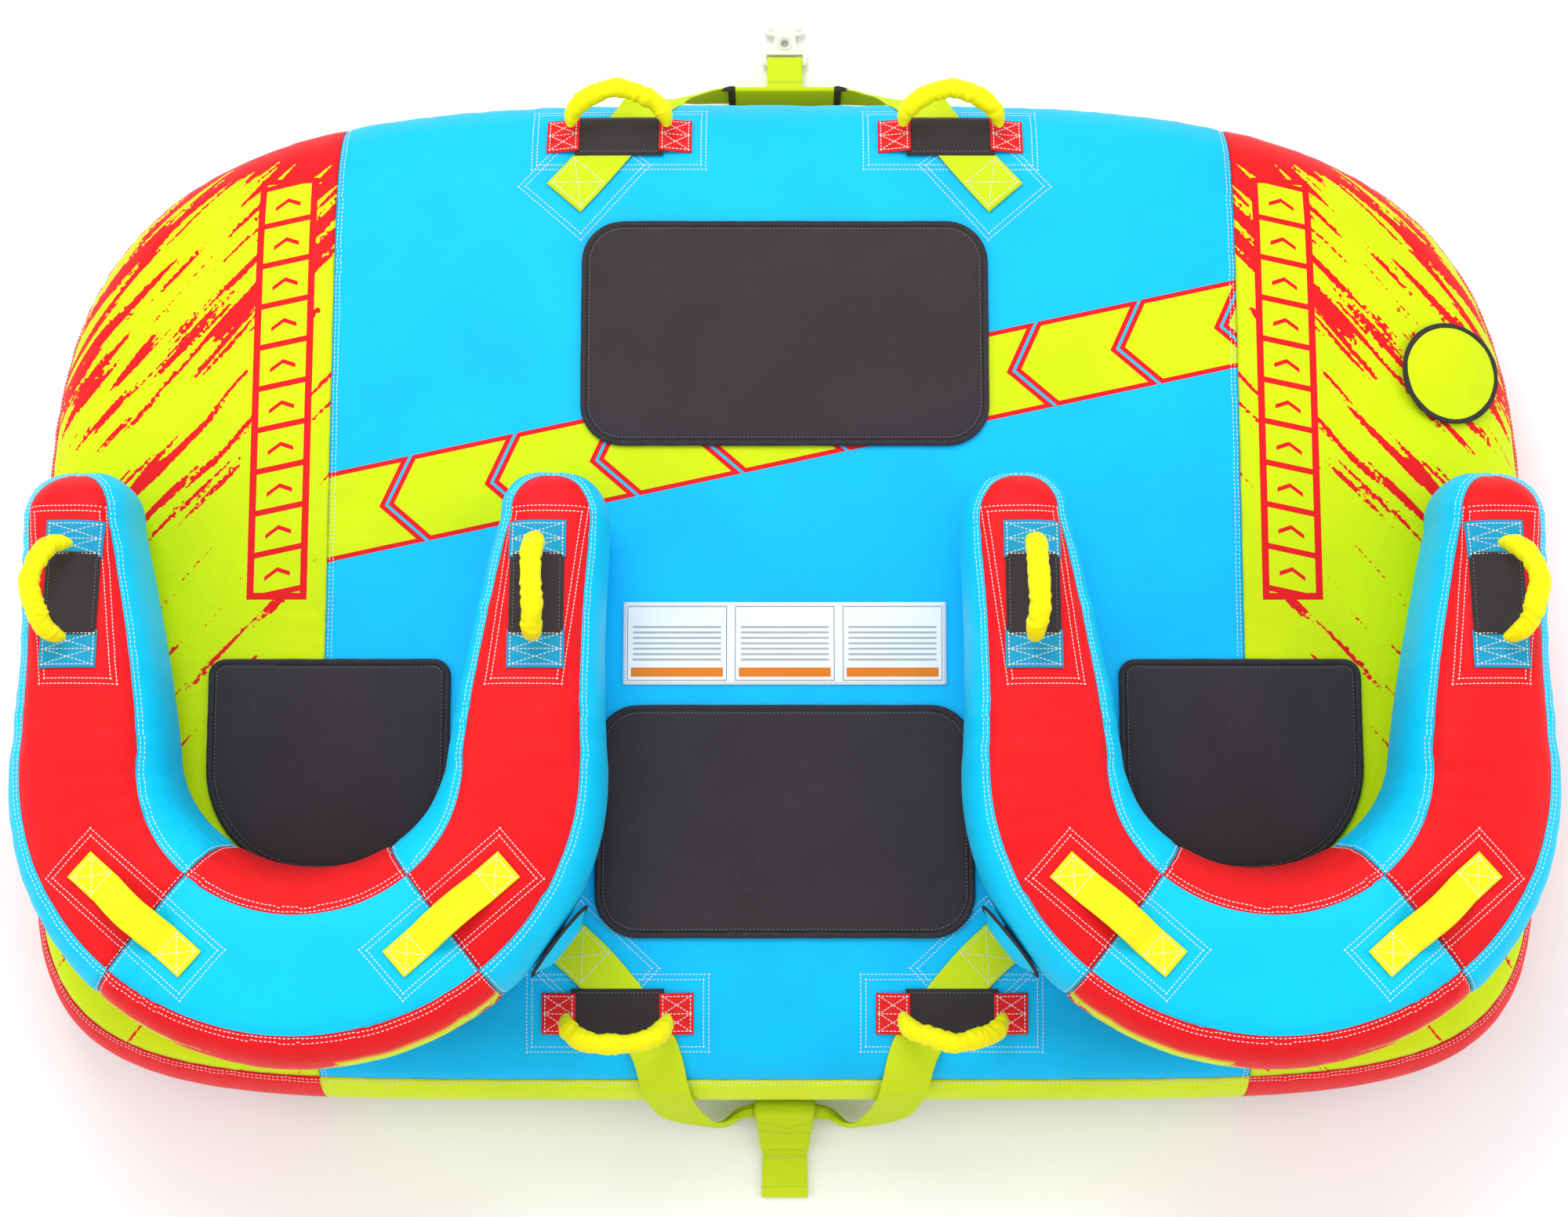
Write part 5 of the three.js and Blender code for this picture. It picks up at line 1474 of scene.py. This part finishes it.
def handle(node, stand, skin, kind, lean, seed, peak, skew=0.0):
    """The patches, guard, stitches and padded grip of one handle."""
    name = f"{node}_handle"
    span, patch, guard, root, patch_cloth, patch_slot, cut = kind
    w = patch[0]
    middle_lift = root - 0.004

    def patch_lift(x, y):
        near = np.clip((span / 2 + w / 2 - np.abs(x)) / w, 0, 1)
        return 0.0031 + (root - 0.006) * near ** 1.6 + 0.0003 * ripple(x, y, 0.012, seed)

    def guard_lift(x, y):
        edge = np.clip((guard / 2 - np.abs(y)) / (guard / 2), 0, 1)
        crown = 0.7 * middle_lift * (0.45 + 0.55 * edge ** 0.5)
        return 0.0026 + crown + 0.0004 * ripple(x, y, 0.02, seed + 5)

    guard_size = (span - w + 0.014, guard)
    guard_sheet, guard_skin = laid_sheet(f"{name}_guard", stand, guard_size, (0, 0), skin, guard_lift,
                                         guard_cloth, 0.0022)
    fit(guard_sheet, "tube", patch_slot, f"{node}_handle_base")
    rows = []
    for end, way in (("first", -1), ("second", 1)):
        middle = (way * span / 2, 0)
        sheet, sheet_skin = laid_sheet(f"{name}_{end}_patch", stand, patch, middle, skin, patch_lift,
                                       patch_cloth, 0.002)
        fit(sheet, "tube", patch_slot)
        rows += box_x(stand, middle, patch, sheet_skin, 0.005, 2, cut)
    edge_y = guard / 2 - 0.006
    reach = (span - w) / 2 - 0.004
    rows_dark = [laid_row(stand, [(-reach, y), (reach, y)], guard_skin) for y in (-edge_y, edge_y)]
    small_stitch = (0.0042, 0.0014, 0.001)
    set_along(f"{name}_guard_stitches", stitch_tree, rows_dark, small_stitch, dark_thread, "tube", patch_slot)
    rows += frame_rows(stand, (span + w + 0.03, guard + (0.016 if skew else 0.026)), skin, skew=skew)
    sew_white(f"{name}_stitches", rows, patch_slot)
    padded_grip(f"{name}_padded_grip", f"{node}_grip", stand, span - 0.026, root + 0.008, lean, seed, peak)


grip_rise = 0.072
arm_skew = 0.126
grip_cloth = cover_finish("yellow_grip_nylon", plain(yellow), 0.42, False)
guard_cloth = neoprene_finish("guard_cloth", dye(48, 42, 45))
red_patch = woven_tape_finish("red_patch", dye(228, 8, 14), 0.0021)
teal_patch = woven_tape_finish("teal_patch", dye(0, 156, 200), 0.0021)
deck_kind = (0.18, (0.052, 0.063), 0.076, 0.014, red_patch, "patch_red", 1)
arm_kind = (0.166, (0.056, 0.084), 0.08, 0.0065, teal_patch, "patch_teal", 0)
quarter = math.pi / 2
for hand, side in (("left", -1), ("right", 1)):
    front, rear = deck_stand(side * 0.265, 0.702), deck_stand(side * 0.255, -0.688)
    rear_peak = 0.05 if side < 0 else 0.5
    handle(f"front_{hand}", front, deck_skin, deck_kind, math.radians(-26), 201 + side, 0.35)
    handle(f"rear_{hand}", rear, deck_skin, deck_kind, math.radians(30), 211 + side, rear_peak)
    for place, along, lean, peak, way in (("outboard", 0.33, 34, 0.25, -1), ("inboard", 3.67, 0, 0.0, 1)):
        crown = tube_points(side, along, np.array([quarter]))[0]
        stand = stand_at(crown, (0, tip_drop / arm_length, 1), side * quarter)
        seed = 221 + side + round(along)
        handle(f"{hand}_{place}", stand, cockpit_skins[hand], arm_kind, math.radians(lean), seed, peak,
               way * side * arm_skew)


# ---- Boarding straps ----------------------------------------------------------------------
# Four straps of flat yellow webbing cross the cockpit backs. Both ends are sewn down with a
# box-X and the middle bows up clear of the cover.

yellow_webbing = woven_tape_finish("yellow_webbing", yellow, 0.0022)
strap_half, strap_sewn, strap_width, strap_bow = 0.1085, 0.05, 0.049, 0.026
for hand, side in (("left", -1), ("right", 1)):
    for place, along in (("outboard", 1.52), ("inboard", 2.48)):
        station = cockpit_station(along)
        turn = math.atan2(station[2] * side, -station[3])
        crown = tube_points(side, along, np.array([quarter]))[0]
        stand = stand_at(crown, (0, 0, 1), turn)
        seed = 301 + 7 * side + round(along)

        def bow_lift(x, y):
            inner = strap_half - strap_sewn
            share = np.minimum(1, np.abs(x) / inner)
            fold = np.exp(-(((np.abs(x) - inner - 0.002) / 0.0035) ** 2))
            doubled = 0.0014 * (np.abs(x) > inner + 0.001)
            wave = 0.0012 * ripple(x, y, 0.03, seed) * (1 - share)
            return 0.0024 + strap_bow * np.cos(quarter * share) ** 1.1 + 0.0016 * fold + doubled + wave

        name = f"{hand}_{place}_boarding_strap"
        skin = cockpit_skins[hand]
        sheet, sheet_skin = laid_sheet(f"{name}_webbing", stand, (2 * strap_half, strap_width), (0, 0), skin,
                                       bow_lift, yellow_webbing, 0.0022, step=0.003)
        fit(sheet, "tube", "strap_webbing", name)
        rows = []
        for way in (-1, 1):
            middle = (way * (strap_half - strap_sewn / 2), 0)
            rows += box_x(stand, middle, (strap_sewn - 0.004, strap_width), sheet_skin, 0.0045, 1)
        rows += frame_rows(stand, (2 * strap_half + 0.032, strap_width + 0.032), skin, gap=0.0075)
        sew_white(f"{name}_stitches", rows, "strap_webbing")


# ---- Tow bridles --------------------------------------------------------------------------
# Lime webbing crosses the front under the front handles and drops over the edge to the tow
# point; the rear one is gathered into a knot. Each end is sewn to the deck with a box-X.

def webbing_through(stations, steps):
    """A smooth strap line through stations of (place, across, width, thickness)."""
    table = []
    for at, across, width, thickness in stations:
        table.append(np.concatenate([at, unit(np.array(across, float)), [width, thickness]]))
    table = np.array(table)
    ends = np.concatenate([[2 * table[0] - table[1]], table, [2 * table[-1] - table[-2]]])
    smooth = []
    for k in range(1, len(ends) - 2):
        a, b, c, d = ends[k - 1:k + 3]
        for s in np.linspace(0, 1, steps, endpoint=False):
            bend = (2 * a - 5 * b + 4 * c - d) * s * s + (3 * b - a - 3 * c + d) * s ** 3
            smooth.append(0.5 * (2 * b + (c - a) * s + bend))
    smooth.append(table[-1])
    return np.array(smooth)


tow_width, tow_thickness = 0.073, 0.0028
edge_level = 0.32


def on_deck(x, y, across, lift):
    """A station of tow webbing lying on the deck."""
    stand = deck_stand(x, y)
    return stand[0] + stand[3] * lift, across, tow_width, tow_thickness


def whole_bridle(half):
    """The left half and its mirror image, run on to the right."""
    left = [(np.array(at), -np.array(across), w, t) for at, across, w, t in half]
    turned = np.array([-1, 1, 1])
    right = [(np.array(at) * turned, np.array(across) * turned, w, t) for at, across, w, t in half[-2::-1]]
    return left + right


def bridle(name, half, seed, held_to):
    """One bridle of webbing, pressed flat where it is sewn to the deck."""
    smooth = webbing_through(whole_bridle(half), 9)
    path, widths, thick = smooth[:, :3], smooth[:, 6], smooth[:, 7]
    runs = unit(np.gradient(path, axis=0))
    across = smooth[:, 3:6] - runs * (smooth[:, 3:6] * runs).sum(-1, keepdims=True)
    across = unit(across)
    ups = unit(np.cross(runs, across))
    profile = strap_profile(tow_width, tow_thickness, 15)
    scale = np.column_stack([widths / tow_width, thick / tow_thickness])
    strap = swept(f"{name}_webbing", path, across, ups, profile, lime_webbing, scale=scale)
    places = points_of(strap)
    owner = KDTree(len(path))
    for k, place in enumerate(path):
        owner.insert(place, k)
    owner.balance()
    near = np.array([owner.find(place)[1] for place in places])
    offset = ((places - path[near]) * across[near]).sum(-1)
    run = run_lengths(path)[near]
    loose = np.clip(deck_edge_gap(places) / 0.05, 0.15, 1)
    gather = np.clip((0.072 - widths[near]) / 0.03, 0, 1)
    pleat = np.sin(offset / (widths[near] + 1e-9) * 2 * math.pi * 2.5 + 9.0 * run) * 0.0032 * gather
    wave = 0.0022 * ripple(run, 0.35 * offset, 0.055, seed) * loose
    places = places + ups[near] * (pleat + wave)[:, None]
    top = deck_top(places[:, 0], places[:, 1])
    resting = deck_edge_gap(places) < 0.012
    places[:, 2] = np.where(resting, np.maximum(places[:, 2], top + 0.001), places[:, 2])
    held = np.clip((held_to - np.abs(places[:, 1])) / 0.03, 0, 1)
    face = ((places - path[near]) * ups[near]).sum(-1)
    pressed = top + 0.0026 + np.sign(ups[near][:, 2]) * np.clip(face, -0.0014, 0.0014)
    places[:, 2] = places[:, 2] * (1 - held) + pressed * held
    set_points(strap, places)
    fit(strap, "tube", "tow_webbing", name)
    return skin_of(strap)


def deck_edge_gap(places):
    """How far outside the deck's rounded edge the places lie, roughly, in metres."""
    level = np.array([deck_level(x, y) for x, y in places[:, :2]])
    return np.where(level > edge_level, 0.0, (edge_level - level) * 0.25)


lime_webbing = woven_tape_finish("lime_webbing", dye(203, 225, 0), 0.0026)
belt_y, belt_z = 0.847, 0.0415
front_half = [
    on_deck(-0.352, 0.595, (0.755, -0.656, 0), 0.003), on_deck(-0.31, 0.643, (0.755, -0.656, 0), 0.0035),
    on_deck(-0.268, 0.695, (0.755, -0.656, 0), 0.004), on_deck(-0.24, 0.732, (0.8, -0.55, 0), 0.005),
    on_deck(-0.22, 0.76, (0.85, -0.5, 0), 0.006), on_deck(-0.204, 0.78, (0.9, -0.4, 0.2), 0.008),
    ((-0.188, 0.8, 0.16), (0.9, -0.05, 0.4), tow_width, tow_thickness),
    ((-0.168, 0.82, 0.11), (0.8, 0, 0.6), tow_width, tow_thickness),
    ((-0.138, 0.838, 0.066), (0.45, 0, 0.9), tow_width, tow_thickness),
    ((-0.1, belt_y, belt_z), (0, 0, 1), tow_width, tow_thickness),
    ((0, belt_y, belt_z), (0, 0, 1), tow_width, tow_thickness),
]
knot_y, knot_z = -0.846, 0.0215
rear_half = [
    on_deck(-0.335, -0.578, (0.78, 0.62, 0), 0.003), on_deck(-0.292, -0.618, (0.78, 0.62, 0), 0.003),
    on_deck(-0.245, -0.673, (0.78, 0.62, 0), 0.0035), on_deck(-0.205, -0.73, (0.9, 0.4, 0), 0.0045),
    on_deck(-0.192, -0.762, (1, 0.2, 0), 0.0055), on_deck(-0.186, -0.79, (1, 0.1, 0), 0.007),
    on_deck(-0.18, -0.808, (1, 0, 0), 0.009),
    ((-0.172, -0.836, 0.15), (1, 0, 0.1), tow_width, tow_thickness),
    ((-0.16, -0.852, 0.092), (0.85, 0.1, 0.5), tow_width, tow_thickness),
    ((-0.136, -0.864, 0.056), (0.45, 0.1, 0.9), 0.07, tow_thickness),
    ((-0.1, -0.866, 0.038), (0, 0.1, 1), 0.056, 0.005),
    ((-0.062, knot_y - 0.002, 0.0225), (0, 0, 1), 0.02, 0.014),
    ((0, knot_y, knot_z), (0, 0, 1), 0.018, 0.018),
]
for name, half, seed, held_to in (
    ("front_tow_bridle", front_half, 401, 0.77),
    ("rear_tow_bridle", rear_half, 411, 0.756),
):
    strap_skin = bridle(name, half, seed, held_to)
    end, second = half[0][0], half[1][0]
    lead = unit(second[:2] - end[:2])
    for hand, side in (("left", 1), ("right", -1)):
        turn = math.atan2(lead[1], side * lead[0])
        spot = end[:2] + lead * 0.034
        stand = deck_stand(side * spot[0], spot[1], turn)
        rows = box_x(stand, (0, 0), (0.062, 0.07), strap_skin, 0.0045, 1)
        wide = end[:2] + lead * 0.05
        outer = deck_stand(side * wide[0], wide[1], turn)
        rows += frame_rows(outer, (0.15, 0.118), deck_skin)
        sew_white(f"{name}_{hand}_stitches", rows, "tow_webbing")


# ---- Front tow point ----------------------------------------------------------------------
# A webbing sleeve with dark bound ends covers the middle of the front bridle. A sewn loop
# swings on it and carries a moulded quick connector, whose eye takes the tow rope.

sleeve_half, sleeve_thick, sleeve_low, sleeve_high = 0.095, 0.012, 0.0012, 0.0818
turns = np.linspace(0, 2 * math.pi, 49)
rows_x = np.linspace(-sleeve_half, sleeve_half, 60)
c, s = np.cos(turns), np.sin(turns)
tall, mid = (sleeve_high - sleeve_low) / 2, (sleeve_high + sleeve_low) / 2
ring_y = np.sign(c) * np.abs(c) ** 0.6 * sleeve_thick / 2
ring_z = np.sign(s) * np.abs(s) ** 0.5 * tall
bulge = 1 + 0.16 * ripple(rows_x[:, None] + 0 * ring_z, 0.4 * ring_z + 0 * rows_x[:, None], 0.03, 421)
bulge[:, -1] = bulge[:, 0]
sleeve_y = belt_y + ring_y[None] * np.minimum(bulge, 1.05)
places = np.stack(np.broadcast_arrays(rows_x[:, None], sleeve_y, mid + ring_z[None]), -1)
girth = run_lengths(np.column_stack([ring_y, ring_z]))
flat = np.stack(np.broadcast_arrays(rows_x[:, None], girth[None]), -1)
sleeve = cloth_piece("front_sleeve_webbing", places, flat, lime_webbing)
thicken(sleeve, 0.0018)
fit(sleeve, "tube", "tow_webbing", "front_tow_sleeve")
ring = np.column_stack([0 * c[:-1], ring_y[:-1], ring_z[:-1]])
section = oval(0.006, 0.0016)
for end, way in (("left", -1), ("right", 1)):
    hoop = ring * [1, 1.08, 1.0] + [way * (sleeve_half - 0.006), belt_y, mid]
    out = unit(np.column_stack([0 * c[:-1], ring_y[:-1] / sleeve_thick ** 2, ring_z[:-1] / (2 * tall) ** 2]))
    along = np.tile([1.0, 0, 0], (48, 1))
    bound = swept(f"front_sleeve_{end}_binding", hoop, along, out, section, binding, True)
    fit(bound, "tube", "tow_webbing")
    tab_start = (way * sleeve_half * 0.97, belt_y, sleeve_high - 0.002)
    tab_end = (way * (sleeve_half + 0.012), belt_y - 0.001, sleeve_high - 0.001)
    tab_path = respaced(np.array([tab_start, tab_end]), 6)
    tab_taper = np.column_stack([np.linspace(0.9, 0.35, 6), np.linspace(0.8, 0.5, 6)])
    tab_across, tab_up = np.tile([0.0, 1.0, 0], (6, 1)), np.tile([0.0, 0, 1.0], (6, 1))
    tab = swept(f"front_sleeve_{end}_tab", tab_path, tab_across, tab_up, section, binding, False, tab_taper)
    fit(tab, "tube", "tow_webbing")


def round_two(start, end, start_radius, end_radius, pinch=0.0, count=160):
    """A closed line in YZ round two pins, drawn in between them by pinch."""
    start, end = np.array(start), np.array(end)
    along = math.atan2(*(end - start)[::-1])
    gap = np.linalg.norm(end - start)
    lean = math.acos((start_radius - end_radius) / gap)
    start_turns = np.linspace(along + lean, along - lean + 2 * math.pi, 40)
    end_turns = np.linspace(along - lean, along + lean, 40)
    first = start + start_radius * np.column_stack([np.cos(start_turns), np.sin(start_turns)])
    second = end + end_radius * np.column_stack([np.cos(end_turns), np.sin(end_turns)])
    path = respaced(np.concatenate([first, second, first[:1]]), count + 1)[:-1]
    way = (end - start) / gap
    side = np.array([-way[1], way[0]])
    share = np.clip(((path - start) @ way) / gap, 0, 1)
    off = (path - start) @ side
    path = path - side * (off * pinch * np.sin(math.pi * share) ** 1.2)[:, None]
    return np.column_stack([0 * off, path])


def band(name, path, width, thickness, finish, seed, scale=None, ruffle=0.0008):
    """A closed band of webbing, its width along X."""
    runs = unit(np.roll(path, -1, 0) - np.roll(path, 1, 0))
    across = np.tile([1.0, 0.0, 0.0], (len(path), 1))
    ups = np.cross(runs, across)
    piece = swept(name, path, across, ups, strap_profile(width, thickness, 15), finish, True, scale)
    places = points_of(piece)
    places[:, 2] += ruffle * ripple(places[:, 0], places[:, 1], 0.03, seed)
    places[:, 1] += 0.6 * ruffle * ripple(places[:, 0], places[:, 2], 0.024, seed + 1)
    set_points(piece, places)
    return piece


def across_row(piece_skin, y, half, z, pitch=0.0058):
    """A row of stitches along X over a band."""
    line = respaced(np.array([(-half, y, z), (half, y, z)]), round(2 * half / pitch))
    spots, ups = nearest(piece_skin, line)
    return spots + ups * 0.0003, unit(np.gradient(spots, axis=0)), ups


bar_y, bar_z = belt_y + 0.069, 0.0125
loop_path = round_two((belt_y + 0.013, belt_z), (bar_y, bar_z), 0.0038, 0.0091, 0.45)
front_loop = band("front_loop_webbing", loop_path, 0.0595, 0.0026, lime_webbing, 431)
fit(front_loop, "front_tow_loop", "tow_webbing", "front_tow_loop")
loop_skin = skin_of(front_loop)
rows = [across_row(loop_skin, belt_y + y, 0.025, 0.08) for y in (0.022, 0.026, 0.046, 0.05)]
lime_thread = thread_finish("lime_thread", dye(188, 208, 10))
set_along("front_loop_stitches", stitch_tree, rows, stitch_size, lime_thread, "front_tow_loop", "tow_webbing")

connector_plastic = moulded_finish("connector_plastic", dye(222, 222, 212), 0.3, Subsurface_Weight=0.12)
corners = [(-0.037, -0.0045), (0.037, -0.0045), (0.037, 0.022), (0.019, 0.03), (0.016, 0.048), (0.033, 0.05),
           (0.033, 0.068), (-0.033, 0.068), (-0.033, 0.05), (-0.016, 0.048), (-0.019, 0.03), (-0.037, 0.022)]
radii = [0.006, 0.006, 0.009, 0.007, 0.005, 0.004, 0.007, 0.007, 0.004, 0.005, 0.007, 0.009]
outer = [(x, bar_y + y) for x, y in rounded_loop(corners, radii)]
slot_corners = [(-0.032, 0.0045), (0.032, 0.0045), (0.032, 0.015), (-0.032, 0.015)]
slot_loop = [(x, bar_y + y) for x, y in rounded_loop(slot_corners, [0.0025] * 4)]
eye = arc((0, bar_y + 0.034), 0.008, 0, 350, 36)
connector_loops = [outer, slot_loop, eye]
connector = plate_from("connector_plate", connector_loops, bar_z - 0.005, bar_z + 0.005, 0.0012,
                       connector_plastic)
fit(connector, "quick_connector", "connector_plastic", "quick_connector")
rim_stand = stand_at((0, bar_y + 0.034, bar_z + 0.005), (0, 0, 1), 0)
rim_profile = [(0.0088, -0.0003), (0.0088, 0.001), (0.0098, 0.0018), (0.0118, 0.0018),
               (0.0128, 0.001), (0.0128, -0.0003), (0.0088, -0.0003)]
eye_rim = lathe("connector_eye_rim", rim_stand, rim_profile, connector_plastic)
fit(eye_rim, "quick_connector", "connector_plastic")
stud_profile = [(0, 0.0014), (0.0032, 0.0014), (0.0042, 0.0006), (0.0042, -0.0004), (0, -0.0004)]
for end, way in (("left", -1), ("right", 1)):
    pin_stand = stand_at((way * 0.024, bar_y + 0.059, bar_z + 0.005), (0, 0, 1), 0)
    pin = lathe(f"connector_{end}_stud", pin_stand, stud_profile, connector_plastic)
    fit(pin, "quick_connector", "connector_plastic")


# ---- Rear tow point -----------------------------------------------------------------------
# The rear bridle is gathered and held by wraps of lime webbing, from which a short flat loop
# of the same webbing hangs. Wraps and loop swing together on the gathered strap.

knot_path = round_two((knot_y, knot_z), (knot_y - 0.052, 0.013), 0.0185, 0.0092, 0.22)
share = np.clip((knot_y - knot_path[:, 1]) / 0.052, 0, 1)
narrow = np.column_stack([1 - 0.17 * share, 1 + 0 * share])
knot = band("rear_tow_wrap", knot_path, 0.094, 0.0026, lime_webbing, 441, narrow, 0.0016)
fit(knot, "rear_tow_loop", "tow_webbing", "rear_tow_loop")
inner_path = round_two((knot_y, knot_z), (knot_y - 0.046, 0.013), 0.0158, 0.0064, 0.2)
inner_scale = narrow * [0.97, 1]
inner = band("rear_tow_inner_wrap", inner_path, 0.101, 0.0024, lime_webbing, 447, inner_scale, 0.0012)
fit(inner, "rear_tow_loop", "tow_webbing")
tail_path = round_two((knot_y - 0.044, 0.0062), (knot_y - 0.1345, 0.0062), 0.0026, 0.0026, 0.25)
share = np.clip((knot_y - 0.044 - tail_path[:, 1]) / 0.09, 0, 1)
flare = np.column_stack([0.97 + 0.05 * share ** 2, 1 + 0 * share])
tail = band("rear_tow_tail", tail_path, 0.0735, 0.0026, lime_webbing, 451, flare, 0.0007)
fit(tail, "rear_tow_loop", "tow_webbing")
tail_skin, knot_skin = skin_of(tail), skin_of(knot)
rows = [across_row(tail_skin, knot_y - y, 0.031, 0.05) for y in (0.072, 0.076, 0.12)]
rows += [across_row(knot_skin, knot_y - y, 0.037, 0.08) for y in (0.042, 0.046)]
set_along("rear_loop_stitches", stitch_tree, rows, stitch_size, lime_thread, "rear_tow_loop", "tow_webbing")
